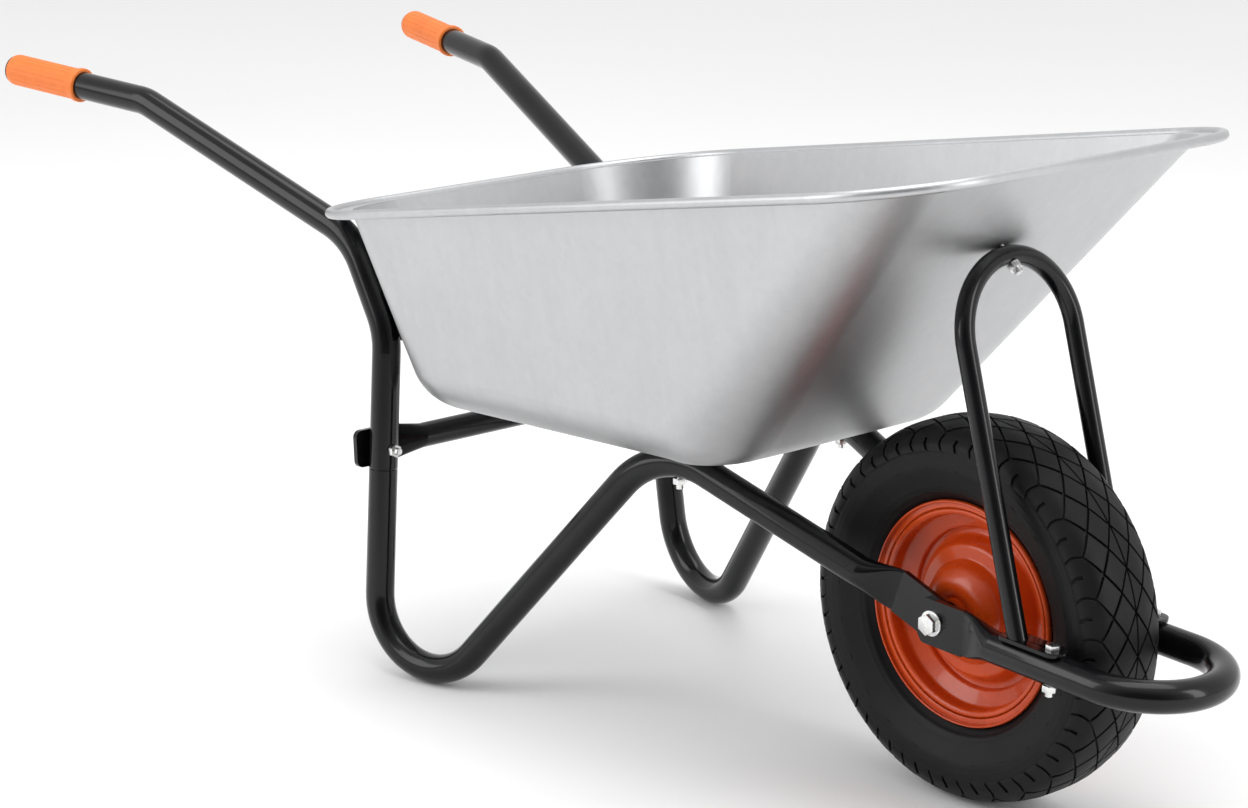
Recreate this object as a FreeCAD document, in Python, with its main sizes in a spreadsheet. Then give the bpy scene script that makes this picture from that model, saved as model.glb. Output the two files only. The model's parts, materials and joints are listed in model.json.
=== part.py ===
import FreeCAD, Part
import math
import os
import re
import Sketcher
from FreeCAD import Placement, Rotation, Vector

# A two-handled, single-wheel builder's wheelbarrow as a parametric assembly.
# Frame: +X forward (towards the wheel), +Y to the user's left, +Z up, millimetres.
# The origin lies on the ground under the middle of the whole barrow.

doc = FreeCAD.newDocument("wheelbarrow")
sheet = doc.addObject("Spreadsheet::Sheet", "sizes")

SIZES = (
    # alias, value, meaning
    ("tray_length", 908, "rim length, back edge to the front corners"),
    ("rim_bow", 9.5, "how far the middle of the front rim stands ahead of its corners"),
    ("rim_back_width", 580, "rim width at the back"),
    ("rim_front_width", 545, "rim width at the front"),
    ("rim_back_corner", 147, "rim corner radius at the back"),
    ("rim_front_corner", 122, "rim corner radius at the front"),
    ("rim_back_height", 507, "top of the rim at the back, above the ground"),
    ("rim_rise", 162, "how much higher the front of the rim is than the back"),
    ("flange_back", 28.5, "width of the flat flange at the back, bead included"),
    ("flange_side", 25, "width of the flange at the sides"),
    ("flange_front", 37, "width of the flange at the front"),
    ("mouth_back_corner", 125, "corner radius of the mouth at the back"),
    ("mouth_front_corner", 75, "corner radius of the mouth at the front"),
    ("bead_diameter", 10.5, "outer diameter of the rolled bead"),
    ("tray_sheet", 1.2, "tray sheet thickness"),
    ("floor_length", 475, "floor length between the virtual lower corners"),
    ("floor_back_width", 425, "floor width at the back"),
    ("floor_front_width", 392, "floor width at the front"),
    ("floor_back_corner", 100, "floor corner radius at the back"),
    ("floor_front_corner", 88, "floor corner radius at the front"),
    ("floor_back_height", 302.5, "underside of the floor at its back edge"),
    ("floor_rise", 15.5, "how much higher the front of the floor is than the back"),
    ("back_rake", 108, "how far the rim's back edge stands behind the floor's"),
    ("floor_fillet", 58, "bend radius between floor and walls"),
    ("tube_diameter", 32, "main frame tube"),
    ("tube_wall", 2, "wall of the frame tubes"),
    ("tray_setback", 23, "floor's back edge ahead of the legs"),
    ("handle_reach", 574, "grip ends behind the legs"),
    ("handle_spread", 604, "distance between the grip centres at their ends"),
    ("grip_height", 606.5, "height of the grip centres at their ends"),
    ("grip_fall", 15.5, "how much the tube falls from the grip end to the wrist bend"),
    ("grip_run", 211, "straight run from the grip end to the wrist bend"),
    ("wrist_radius", 60, "bend radius at the wrist"),
    ("shoulder_drop", 7, "gap between the handle tube and the rim above it"),
    ("shoulder_setback", 59.5, "shoulder bend behind the legs"),
    ("shoulder_radius", 95, "bend radius at the shoulder"),
    ("knee_drop", 97, "knee bend below the shoulder bend"),
    ("knee_radius", 88, "bend radius at the knee"),
    ("joint_height", 225, "height of the joint between handle tube and leg tube"),
    ("joint_gap", 2, "open groove at that joint"),
    ("spigot_length", 45, "swaged end of the leg tube inside the handle tube"),
    ("joint_shoulder", 5, "solid shoulder where the leg tube is swaged"),
    ("fit_clearance", 0.1, "clearance of parts that slide together"),
    ("foot_rake", 32, "foot bend ahead of the knee"),
    ("foot_splay", 47, "foot bend outside the knee"),
    ("foot_radius", 76, "bend radius at the foot"),
    ("apex_station", 340, "bend under the tray, ahead of the floor's back edge"),
    ("apex_radius", 94, "bend radius under the tray"),
    ("seat_gap", 0.2, "gap between the leg tubes and the tray floor"),
    ("lug_width", 47, "height of the flattened tube ends"),
    ("lug_thickness", 6, "thickness of the flattened tube ends"),
    ("lug_run", 56, "flat length behind the axle"),
    ("flatten_run", 42, "length over which a tube is pressed flat"),
    ("lug_overhang", 19, "flat length past the bolt"),
    ("wheel_diameter", 390, "outer diameter of the tyre"),
    ("tyre_width", 104, "greatest width of the tyre"),
    ("tyre_gap", 46.5, "from the tyre to the tray's lower front corner"),
    ("hoop_gap", 66.5, "from the tyre to the front hoop"),
    ("hoop_side_gap", 8, "from the tyre's side to the hoop tube"),
    ("hoop_tilt", 2.5, "downward tilt of the front hoop, degrees"),
    ("stay_diameter", 20, "stay tube"),
    ("stay_wall", 1.5, "wall of the stay tube"),
    ("stay_spread", 158, "distance between the stay's legs"),
    ("stay_station", 111, "stay's feet ahead of the axle"),
    ("stay_height", 555, "top of the stay's centreline"),
    ("foot_plate_length", 72, "stay foot plate"),
    ("foot_plate_width", 28, "stay foot plate"),
    ("foot_plate_thickness", 4, "stay foot plate"),
    ("foot_plate_bolt", 41, "bolt of the foot plate ahead of the stay"),
    ("brace_diameter", 28, "cross brace tube"),
    ("brace_height", 247, "height of the cross brace"),
    ("brace_flat", 50, "flattened length at each end of the brace"),
    ("brace_flat_width", 42, "height of the brace's flattened ends"),
    ("strap_thickness", 4, "strap between handle tube and tray"),
    ("strap_low", 371, "lower edge of the strap"),
    ("strap_width", 52, "height of the strap"),
    ("strap_inner", 80, "inboard end of the strap, from the middle plane"),
    ("strap_outer", 196, "outboard end of the strap, from the middle plane"),
    ("grip_length", 115, "grip, end to end"),
    ("grip_wall", 2.2, "wall of the grip"),
    ("grip_collar", 1.6, "how far the grip's collar stands proud"),
    ("grip_collar_length", 6, "length of the collar"),
    ("grip_round", 6, "rounding of the grip's closed end"),
    ("grip_flute", 0.9, "depth of the grip's flutes"),
    ("flange_radius", 115.5, "outer radius of the wheel disc's rolled edge"),
    ("flange_offset", 32, "rolled edge from the wheel's middle plane"),
    ("seat_radius", 101.6, "bead seat of the rim, an eight inch rim"),
    ("well_radius", 84, "bottom of the rim's well"),
    ("disc_sheet", 2, "wheel disc sheet"),
    ("plateau_radius", 62, "radius of the disc's raised shoulder"),
    ("plateau_offset", 19, "raised shoulder from the middle plane"),
    ("dome_radius", 44, "radius of the hub dome"),
    ("dome_offset", 43, "top of the hub dome from the middle plane"),
    ("tyre_wall", 6, "side wall of the tyre"),
    ("tyre_crown", 9, "crown thickness of the tyre"),
    ("inner_tube_wall", 1.8, "wall of the inner tube"),
    ("hub_length", 100, "hub tube"),
    ("hub_wall", 3, "wall of the hub tube"),
    ("bearing_bore", 12.1, "ball bearing bore"),
    ("bearing_outer", 32, "ball bearing outer diameter"),
    ("bearing_width", 10, "ball bearing width"),
    ("ball_diameter", 5.95, "bearing ball"),
    ("ball_count", 8, "balls in a bearing"),
    ("race_clearance", 0.04, "radial running clearance of the balls"),
    ("ring_shoulder", 2.1, "ring shoulder from the pitch circle"),
    ("shield_thickness", 0.4, "bearing shield"),
    ("sleeve_diameter", 18, "spacer sleeves on the axle bolt"),
    ("spacer_length", 14, "from the bearing to the leg's lug"),
    ("axle_diameter", 12, "axle bolt"),
    ("axle_flats", 19, "across flats of the axle bolt"),
    ("axle_head", 7.5, "head height of the axle bolt"),
    ("axle_nut_height", 10.5, "axle nut"),
    ("axle_hole", 12.5, "hole for the axle bolt in the lugs"),
    ("washer_diameter", 26, "axle washer"),
    ("washer_thickness", 2.5, "axle washer"),
    ("bolt_diameter", 8, "frame and tray bolts"),
    ("bolt_hole", 8.6, "hole for a frame bolt"),
    ("bolt_flats", 13, "across flats of the frame bolts"),
    ("bolt_head", 5.3, "head height of the frame bolts"),
    ("nut_height", 6.5, "frame nuts"),
    ("thread_past", 5, "thread that shows past a nut"),
    ("dome_head", 18, "diameter of the domed tray bolt heads"),
    ("dome_head_height", 4.5, "height of the domed heads"),
    ("valve_diameter", 7.7, "valve stem"),
    ("valve_length", 34, "valve stem"),
    ("valve_base", 16, "diameter of the stem's rubber foot"),
    ("valve_cap_diameter", 10, "valve cap"),
    ("valve_cap_length", 11, "valve cap"),
    ("floor_bow", 3, "how far the middle of the floor's front edge stands ahead"),
    ("lip_curl", 4.5, "how far the disc's rolled edge curls outwards"),
    ("seat_inner", 15, "inner end of the bead seat, from the middle plane"),
    ("well_offset", 7, "outer end of the well's bottom, from the middle plane"),
    ("web_width", 12, "flat ring where the two discs meet"),
    ("dome_lean", 8, "how much the hub dome narrows to its top"),
    ("weld_gap", 0.05, "gap between disc and hub tube at the weld"),
    ("bead_thickness", 14, "thickness of the tyre's bead"),
    ("bearing_shoulder_gap", 0.3, "gap between a shield and the inner ring"),
    ("valve_foot", 1.6, "thickness of the stem's rubber foot"),
    ("stay_trim", 14, "stay tube sawn off at the foot plates"),
    ("hoop_flat", 40, "flat length of the hoop ahead of the axle"),
    ("strap_bolt_inset", 16, "strap bolt from the strap's inboard end"),
    ("bead_seam", 12, "half of the open seam under the rolled bead, degrees"),
    ("nut_gap", 0.4, "between a nut and the curved tube it sits on"),
    ("head_gap", 0.15, "between a bolt head or nut and the tray or strap"),
    ("tube_room", 0.6, "between the air tube and the tyre"),
    ("tread_flat", 16, "half width of the tyre's level crown"),
    ("cage_wall", 1.8, "wall of the bearing's ball cage"),
    ("cage_rim", 0.4, "cage past the balls at each face"),
    ("flute_count", 14, "flutes around a grip"),
    ("flute_inset", 4, "plain stretch of a grip at both ends of its flutes"),
    ("countersink", 15, "head diameter of the flush floor bolts"),
    ("countersink_rise", 1, "how far the countersink's cutter runs on above the floor"),
    ("drill_reach", 40, "how far a hole is cut either side of its point"),
    ("valve_drill_reach", 8, "the same for the valve's hole, inside the rim's well"),
    ("valve_hole", 8.1, "hole for the valve stem in the disc"),
    ("valve_cap_seat", 8.8, "how far the cap goes over the stem"),
    ("valve_cap_bore", 9.35, "depth of the cap's bore"),
    ("spigot_spare", 1, "how far the spigot's bore runs on past each end"),
    ("hub_sleeve_diameter", 17, "sleeve between the two bearings"),
    ("lug_chamfer", 8.8, "height of the cut corners of the hoop's flattened ends"),
    ("lug_chamfer_run", 6, "length of those cut corners"),
    ("lug_corner", 5, "rounding of those cut corners"),
    ("flat_edge", 1, "rounding where a flattened end meets its tube"),
    ("brace_corner", 8, "rounded corners of the brace's flattened ends"),
    ("plate_round", 12.6, "rounding of the foot plate's front corners"),
    ("plate_corner", 5, "rounding of the foot plate's rear corners"),
    ("shoulder_slope", 2, "rise of the disc's raised shoulder towards the dome"),
    ("crown_fall", 6, "from the tyre's crown down to its shoulder corner"),
    ("crown_inset", 12, "shoulder corner inside the tyre's greatest width"),
    ("wide_top", 0.2767, "upper end of the tyre's widest part, as a share from crown to flange"),
    ("wide_low", 0.5535, "lower end of the widest part, as the same share"),
    ("bead_rise", 11, "foot of the side wall above the rim's flange"),
    ("bead_bulge", 12, "foot of the side wall outside the bead's face"),
    ("cavity_bulge", 6, "the same inside the tyre"),
    ("bead_lip", 1, "corner of the bead below the rim's flange"),
    ("air_foot_drop", 7, "foot of the air tube below the bead seat"),
    ("air_foot_inset", 6, "foot of the air tube inside the seat's inner end"),
)
for row, (alias, value, meaning) in enumerate(SIZES, start=1):
    sheet.set(f"A{row}", meaning)
    sheet.set(f"B{row}", str(value))
    sheet.setAlias(f"B{row}", alias)
doc.recompute()


def size(alias):
    return float(sheet.get(alias))


NODES = {}
SIDES = {"right": -1, "left": 1}
UP = Vector(0, 0, 1)


# ---------------------------------------------------------------- helpers

def on_sheet(expression):
    """An expression in which every named size points at the sheet."""
    aliases = {alias for alias, _, _ in SIZES}
    return re.sub(r"[a-z_]+", lambda word: f"sizes.{word[0]}" if word[0] in aliases
                  else word[0], str(expression))


def bind(thing, **sizes):
    """Bind properties of an object to expressions on the size sheet."""
    for name, expression in sizes.items():
        thing.setExpression(name, on_sheet(expression))
    return thing


def make(kind, name, **sizes):
    return bind(doc.addObject(kind, name), **sizes)


def node(name, thing):
    """Name an object as one piece of the barrow."""
    thing.Label = name
    NODES[name] = thing
    return thing


def fixed(name, shape):
    """An object whose shape is worked out from the sheet in this script."""
    thing = doc.addObject("Part::Feature", name)
    thing.Shape = shape
    return thing


def aim(point, direction, upward=UP):
    """Placement with local Z along direction and local X towards upward."""
    z_axis = Vector(direction).normalize()
    x_axis = upward - z_axis * upward.dot(z_axis)
    if x_axis.Length < 1e-6:
        x_axis = Vector(1, 0, 0) - z_axis * z_axis.x
    x_axis.normalize()
    y_axis = z_axis.cross(x_axis)
    return Placement(point, Rotation(x_axis, y_axis, z_axis, "ZXY"))


def fuse(name, *parts):
    joined = doc.addObject("Part::MultiFuse", name)
    joined.Shapes = list(parts)
    return joined


def cut(name, base, *tools):
    for index, tool in enumerate(tools):
        last = index == len(tools) - 1
        step = doc.addObject("Part::Cut", name if last else f"{name}_step{index}")
        step.Base = base
        step.Tool = tool
        base = step
    return base


def group(name, parts):
    """Identical loose pieces kept in one node as separate solids."""
    gathered = doc.addObject("Part::Compound", name)
    gathered.Links = parts
    return gathered


def cylinder(name, radius, height, placement):
    rod = make("Part::Cylinder", name, Radius=radius, Height=height)
    rod.Placement = placement
    return rod


def rounded_corner(before, corner, after, radius):
    """Where a bend of this radius starts, passes and ends."""
    back = (before - corner).normalize()
    ahead = (after - corner).normalize()
    half = back.getAngle(ahead) / 2
    reach = radius / math.tan(half)
    middle = (back + ahead).normalize() * (radius / math.sin(half) - radius)
    return corner + back * reach, corner + middle, corner + ahead * reach


def rounded_edges(corners, radii, closed=False):
    """Straight runs joined by tangent arcs through a list of corners."""
    count = len(corners)
    turns = range(count) if closed else range(1, count - 1)
    bends = {}
    for index, radius in zip(turns, radii):
        bends[index] = rounded_corner(corners[index - 1], corners[index],
                                      corners[(index + 1) % count], radius)
    edges = []
    here = bends[0][2] if closed else corners[0]
    order = list(range(1, count)) + ([0] if closed else [])
    for index in order:
        if index not in bends:
            edges.append(Part.LineSegment(here, corners[index]).toShape())
            continue
        start, middle, end = bends[index]
        if (start - here).Length > 1e-4:
            edges.append(Part.LineSegment(here, start).toShape())
        edges.append(Part.Arc(start, middle, end).toShape())
        here = end
    return edges


def swept(name, path, start, direction, radius):
    """A solid rod of the given radius along a path."""
    ring = make("Part::Circle", f"{name}_ring", Radius=radius)
    ring.Placement = aim(start, direction)
    rod = doc.addObject("Part::Sweep", name)
    rod.Sections = [ring]
    rod.Spine = (path, [f"Edge{n}" for n in range(1, len(path.Shape.Edges) + 1)])
    rod.Solid = True
    rod.Frenet = False
    return rod


def tube(name, edges, outer_radius, inner_radius):
    """Outer and inner rods of a bent tube along the same centreline."""
    path = fixed(f"{name}_path", Part.Wire(edges))
    start = edges[0].valueAt(edges[0].FirstParameter)
    direction = edges[0].tangentAt(edges[0].FirstParameter)
    outer = swept(f"{name}_outer", path, start, direction, outer_radius)
    inner = swept(f"{name}_inner", path, start, direction, inner_radius)
    return outer, inner


def pressed_flat(name, start, direction, flat_point, flat_direction, radius, width, thickness):
    """The stretch where a round tube is pressed into a flat end."""
    ring = make("Part::Circle", f"{name}_round", Radius=radius)
    ring.Placement = aim(start, direction)
    oval = make("Part::Ellipse", f"{name}_oval",
                MajorRadius=f"{width} / 2", MinorRadius=f"{thickness} / 2")
    oval.Placement = aim(flat_point, flat_direction)
    blend = doc.addObject("Part::Loft", name)
    blend.Sections = [ring, oval]
    blend.Solid = True
    return blend


def ring_body(name, outer, inner, length, placement):
    """A plain turned ring: a padded sketch of two circles."""
    body = doc.addObject("PartDesign::Body", name)
    sketch = body.newObject("Sketcher::SketchObject", f"{name}_sketch")
    plane = [f for f in body.Origin.OriginFeatures if f.Role == "XY_Plane"][0]
    sketch.AttachmentSupport = [(plane, "")]
    sketch.MapMode = "FlatFace"
    for index, radius in enumerate((outer, inner)):
        guess = 10.0 - 4.0 * index
        sketch.addGeometry(Part.Circle(Vector(), Vector(0, 0, 1), guess), False)
        sketch.addConstraint(Sketcher.Constraint("Coincident", index, 3, -1, 1))
        number = sketch.addConstraint(Sketcher.Constraint("Radius", index, guess))
        sketch.setExpression(f"Constraints[{number}]", on_sheet(radius))
    pad = body.newObject("PartDesign::Pad", f"{name}_pad")
    pad.Profile = sketch
    bind(pad, Length=length)
    body.Tip = pad
    body.Placement = placement
    return body


def turned(name, outline, placement):
    """A piece turned about local Z from an outline in the local XZ plane."""
    face = fixed(f"{name}_outline", Part.Face(Part.Wire(outline)))
    lathe = doc.addObject("Part::Revolution", name)
    lathe.Source = face
    lathe.Base = Vector(0, 0, 0)
    lathe.Axis = Vector(0, 0, 1)
    lathe.Angle = 360
    lathe.Solid = True
    lathe.Placement = placement
    return lathe


# ---------------------------------------------------------------- layout
# x runs from the legs: middle is then taken off so that the origin is central.

tube_radius = size("tube_diameter") / 2
wheel_radius = size("wheel_diameter") / 2
grip_radius = tube_radius + size("fit_clearance") + size("grip_wall")
hoop_tilt = math.radians(size("hoop_tilt"))
hoop_along = Vector(math.cos(hoop_tilt), 0, -math.sin(hoop_tilt))
hoop_up = Vector(math.sin(hoop_tilt), 0, math.cos(hoop_tilt))

floor_back_x = size("tray_setback")
floor_front_x = floor_back_x + size("floor_length")
floor_slope = size("floor_rise") / size("floor_length")
rim_back_x = floor_back_x - size("back_rake")
rim_slope = size("rim_rise") / size("tray_length")

corner_height = size("floor_back_height") + size("floor_rise") - wheel_radius
tyre_to_corner = wheel_radius + size("tyre_gap")
axle_x = floor_front_x + math.sqrt(tyre_to_corner ** 2 - corner_height ** 2)
hoop_reach = wheel_radius + size("hoop_gap") + tube_radius
front_x = axle_x + hoop_reach * math.cos(hoop_tilt) + tube_radius

grip_along = Vector(size("grip_run"), 0, -size("grip_fall")).normalize()


def lug_offset(order):
    """Middle plane of the first (leg) or second (hoop) lug on the axle."""
    inner = size("hub_length") / 2 + size("spacer_length")
    return inner + (order - 0.5) * size("lug_thickness")


def plan_offset(x, near_x, near_y, far_x, far_y):
    """Straight line in plan through two stations of the side frame."""
    return near_y + (far_y - near_y) * (x - near_x) / (far_x - near_x)


def back_reach(yaw):
    """How far the rounded grip end stands behind its centre point."""
    outward = Vector(-1, yaw, size("grip_fall") / size("grip_run")).normalize()
    lean = math.acos(-outward.x)
    flat = grip_radius - size("grip_round")
    return flat * math.sin(lean) + size("grip_round") * (1 - math.cos(lean))


typical_yaw = size("handle_spread") / 2 / (axle_x + size("handle_reach"))
middle = (front_x - size("handle_reach") - back_reach(typical_yaw)) / 2


def at(x, y, z):
    return Vector(x - middle, y, z)


axle = at(axle_x, 0, wheel_radius)


def along_axle(side, offset):
    """Placement on the axle line, local Z outward on the given side."""
    return aim(axle + Vector(0, side * offset, 0), Vector(0, side, 0))


# ---------------------------------------------------------------- tray

def wall_angles():
    """Slope of each tray wall from the vertical."""
    rise_back = size("rim_back_height") - size("floor_back_height")
    rise_front = rise_back + size("rim_rise") - size("floor_rise")
    run_back = size("back_rake") - size("flange_back")
    run_front = (size("tray_length") - size("back_rake") - size("floor_length")
                 - size("flange_front"))
    run_side_back = (size("rim_back_width") - size("floor_back_width")) / 2 - size("flange_side")
    run_side_front = (size("rim_front_width") - size("floor_front_width")) / 2 - size("flange_side")
    return {
        "back": math.atan2(run_back, rise_back),
        "front": math.atan2(run_front, rise_front),
        "side_back": math.atan2(run_side_back, rise_back),
        "side_front": math.atan2(run_side_front, rise_front),
    }


WALLS = wall_angles()


def bowed_outline(back, front, back_half, front_half, bow, back_corner, front_corner, height):
    """Five-cornered outline: a rounded trapezoid whose front edge is bowed."""
    corners = [at(back, -back_half, height(back)), at(front, -front_half, height(front)),
               at(front + bow, 0, height(front + bow)),
               at(front, front_half, height(front)), at(back, back_half, height(back))]
    bend = math.atan2(front_half, bow)
    bow_reach = 0.8 * (front_half - front_corner)
    bow_corner = bow_reach * math.tan(bend)
    radii = [back_corner, front_corner, bow_corner, front_corner, back_corner]
    return corners, radii


def floor_outline(grow):
    """Lower edge of the tray body, grown outwards by a wall thickness."""
    def shift(wall):
        angle = WALLS[wall]
        return grow * (1 - math.sin(angle)) / math.cos(angle)

    def height(x):
        return size("floor_back_height") + floor_slope * (x - floor_back_x) - grow

    return bowed_outline(floor_back_x - shift("back"), floor_front_x + shift("front"),
                         size("floor_back_width") / 2 + shift("side_back"),
                         size("floor_front_width") / 2 + shift("side_front"),
                         size("floor_bow"), size("floor_back_corner") + grow,
                         size("floor_front_corner") + grow, height)


def rim_height(drop):
    return lambda x: size("rim_back_height") + rim_slope * (x - rim_back_x) - drop


def mouth_outline(grow, lift=0.0):
    """Upper edge of the tray body at the level of the flange's top face."""
    def shift(wall):
        angle = WALLS[wall]
        return grow / math.cos(angle) + lift * math.tan(angle)

    drop = size("bead_diameter") / 2 - size("tray_sheet") / 2 - lift
    front = rim_back_x + size("tray_length") - size("flange_front")
    back = rim_back_x + size("flange_back")
    return bowed_outline(back - shift("back"), front + shift("front"),
                         size("rim_back_width") / 2 - size("flange_side") + shift("side_back"),
                         size("rim_front_width") / 2 - size("flange_side") + shift("side_front"),
                         size("rim_bow"), size("mouth_back_corner") + grow,
                         size("mouth_front_corner") + grow, rim_height(drop))


def rim_outline(inset, drop):
    """Outline of the rim, inset from the bead's outer edge."""
    return bowed_outline(rim_back_x + inset, rim_back_x + size("tray_length") - inset,
                         size("rim_back_width") / 2 - inset,
                         size("rim_front_width") / 2 - inset,
                         size("rim_bow"), size("rim_back_corner") - inset,
                         size("rim_front_corner") - inset, rim_height(drop))


def closed_wire(outline):
    corners, radii = outline
    return Part.Wire(rounded_edges(corners, radii, closed=True))


def tray_block(name, grow, lift=0.0):
    """Solid body of the tray with its wide bend between floor and walls."""
    low = fixed(f"{name}_floor", closed_wire(floor_outline(grow)))
    high = fixed(f"{name}_mouth", closed_wire(mouth_outline(grow, lift)))
    loft = doc.addObject("Part::Loft", f"{name}_loft")
    loft.Sections = [low, high]
    loft.Solid = True
    loft.Ruled = True
    doc.recompute()
    radius = size("floor_fillet") + grow
    chain = []
    for number, edge in enumerate(loft.Shape.Edges, start=1):
        tilt = edge.CenterOfMass.z - size("floor_back_height") + grow
        lowest = floor_slope * (edge.CenterOfMass.x + middle - floor_back_x)
        if abs(tilt - lowest) < 1.0:
            chain.append((number, radius, radius))
    bend = doc.addObject("Part::Fillet", name)
    bend.Base = loft
    bend.Edges = chain
    return bend


tray_outside = tray_block("tray_outside", 0.0)
tray_inside = tray_block("tray_inside", -size("tray_sheet"), lift=2.0)
tray_padded = tray_block("tray_padded", size("strap_thickness"))
tray_shell = cut("tray_shell", tray_outside, tray_inside)

rim_normal = Vector(-rim_slope, 0, 1).normalize()
flange_drop = size("bead_diameter") / 2 - size("tray_sheet") / 2
flange_face = Part.Face(closed_wire(rim_outline(size("bead_diameter") / 2, flange_drop))).cut(
    Part.Face(closed_wire(mouth_outline(-size("tray_sheet"))))).Faces[0]
flange_outline = fixed("flange_outline", flange_face)
flange = bind(doc.addObject("Part::Extrusion", "flange"), LengthFwd="tray_sheet")
flange.Base = flange_outline
flange.DirMode = "Custom"
flange.Dir = rim_normal * -1
flange.Solid = True

bead_edges = rounded_edges(*rim_outline(size("bead_diameter") / 2, size("bead_diameter") / 2),
                           closed=True)
bead_path = fixed("bead_path", Part.Wire(bead_edges))


def rolled_section(outer, inner, slit):
    """A ring with a seam, in local XY, opening opposite to local X."""
    first = math.radians(slit - 180)
    last = math.radians(180 - slit)

    def point(radius, angle):
        return Vector(radius * math.cos(angle), radius * math.sin(angle), 0)

    return Part.Wire([
        Part.Arc(point(outer, first), point(outer, 0), point(outer, last)).toShape(),
        Part.LineSegment(point(outer, last), point(inner, last)).toShape(),
        Part.Arc(point(inner, last), point(inner, 0), point(inner, first)).toShape(),
        Part.LineSegment(point(inner, first), point(outer, first)).toShape(),
    ])


bead_radius = size("bead_diameter") / 2
bead_ring = fixed("bead_ring", rolled_section(bead_radius, bead_radius - size("tray_sheet"),
                                              size("bead_seam")))
bead_start = bead_edges[0].valueAt(bead_edges[0].FirstParameter)
bead_ring.Placement = aim(bead_start, bead_edges[0].tangentAt(0), rim_normal)
bead = doc.addObject("Part::Sweep", "bead")
bead.Sections = [bead_ring]
bead.Spine = (bead_path, [f"Edge{n}" for n in range(1, len(bead_edges) + 1)])
bead.Solid = True
tray_whole = fuse("tray_whole", tray_shell, flange, bead)
doc.recompute()

# ---------------------------------------------------------------- straps
# Each strap hugs the tray's rear corner and carries the handle tube.

strap_skin = cut("strap_skin", tray_padded, tray_outside)
strap_reach = size("strap_outer") - size("strap_inner")
straps = {}
for side_name, side in SIDES.items():
    window = make("Part::Box", f"strap_window_{side_name}", Length="back_rake + tray_setback",
                  Width="strap_outer - strap_inner", Height="strap_width")
    inner_y = size("strap_inner") if side > 0 else -size("strap_outer")
    window.Placement.Base = at(rim_back_x, inner_y, size("strap_low"))
    strap = doc.addObject("Part::Common", f"strap_blank_{side_name}")
    strap.Base = strap_skin
    strap.Tool = window
    straps[side_name] = strap
doc.recompute()

# ---------------------------------------------------------------- side frames

def settle(miss, first, second):
    """The value at which miss(value) is zero, by the secant method."""
    low, high = miss(first), miss(second)
    for _ in range(30):
        if abs(high) < 1e-4 or abs(high - low) < 1e-9:
            break
        first, second = second, second - high * (second - first) / (high - low)
        low, high = high, miss(second)
    return second


shoulder_height = (size("rim_back_height") - size("bead_diameter") - size("shoulder_drop")
                   - tube_radius * 1.07)
knee_height = shoulder_height - size("knee_drop")
floor_normal = Vector(-floor_slope, 0, 1).normalize()
floor_point = at(floor_back_x, 0, size("floor_back_height"))


def side_corners(side, half_span, foot_height, apex_height):
    """Corners of the side frame's centreline, grip end first."""
    lug_y = lug_offset(1)
    apex_x = floor_back_x + size("apex_station")
    apex_y = plan_offset(apex_x, axle_x, lug_y, -size("shoulder_setback"), half_span)
    wrist_x = size("grip_run") - size("handle_reach")
    wrist_y = plan_offset(wrist_x, -size("handle_reach"), size("handle_spread") / 2,
                          -size("shoulder_setback"), half_span)
    places = (
        ("tip", -size("handle_reach"), size("handle_spread") / 2, size("grip_height")),
        ("wrist", wrist_x, wrist_y, size("grip_height") - size("grip_fall")),
        ("shoulder", -size("shoulder_setback"), half_span, shoulder_height),
        ("knee", 0, half_span, knee_height),
        ("foot", size("foot_rake"), half_span + size("foot_splay"), foot_height),
        ("apex", apex_x, apex_y, apex_height),
        ("lug", axle_x, lug_y, wheel_radius),
    )
    return {name: at(x, side * y, z) for name, x, y, z in places}


def strap_miss(half_span):
    """Gap between the handle tube and the strap, less the wanted one."""
    spots = side_corners(1, half_span, 0, 0)
    line = Part.Wire(rounded_edges([spots["wrist"], spots["shoulder"], spots["knee"],
                                    spots["foot"]],
                                   [size("shoulder_radius"), size("knee_radius")]))
    return line.distToShape(straps["left"].Shape)[0] - tube_radius - size("fit_clearance")


half_span = settle(strap_miss, size("rim_back_width") / 2 - 70, size("rim_back_width") / 2 - 85)


def bend_points(spots, names, radius):
    edges = rounded_edges([spots[name] for name in names], [radius])
    return edges[1].discretize(160)


def foot_miss(foot_height, apex_height):
    spots = side_corners(1, half_span, foot_height, apex_height)
    points = bend_points(spots, ("knee", "foot", "apex"), size("foot_radius"))
    return min(p.z for p in points) - tube_radius


def seat_points(foot_height, apex_height):
    spots = side_corners(1, half_span, foot_height, apex_height)
    return bend_points(spots, ("foot", "apex", "lug"), size("apex_radius"))


def seat_miss(apex_height, foot_height):
    gaps = [(floor_point - p).dot(floor_normal) for p in seat_points(foot_height, apex_height)]
    return min(gaps) - tube_radius - size("seat_gap")


foot_height, apex_height = -100.0, size("floor_back_height")
for _ in range(5):
    foot_height = settle(lambda z: foot_miss(z, apex_height), foot_height, foot_height + 5)
    apex_height = settle(lambda z: seat_miss(z, foot_height), apex_height, apex_height + 5)
seat = min(seat_points(foot_height, apex_height),
           key=lambda p: (floor_point - p).dot(floor_normal))


def bolt(name, prefix, length, point, direction):
    """Hexagon bolt: its head lies behind point, its shank ahead of it."""
    head = make("Part::Prism", f"{name}_head", Circumradius=f"{prefix}_flats / sqrt(3)",
                Height=f"{prefix}_head")
    head.Polygon = 6
    backwards = Vector(direction).normalize() * -size(f"{prefix}_head")
    head.Placement = aim(point + backwards, direction)
    shank = cylinder(f"{name}_shank", f"{prefix}_diameter / 2", length, aim(point, direction))
    return fuse(name, head, shank)


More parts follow.
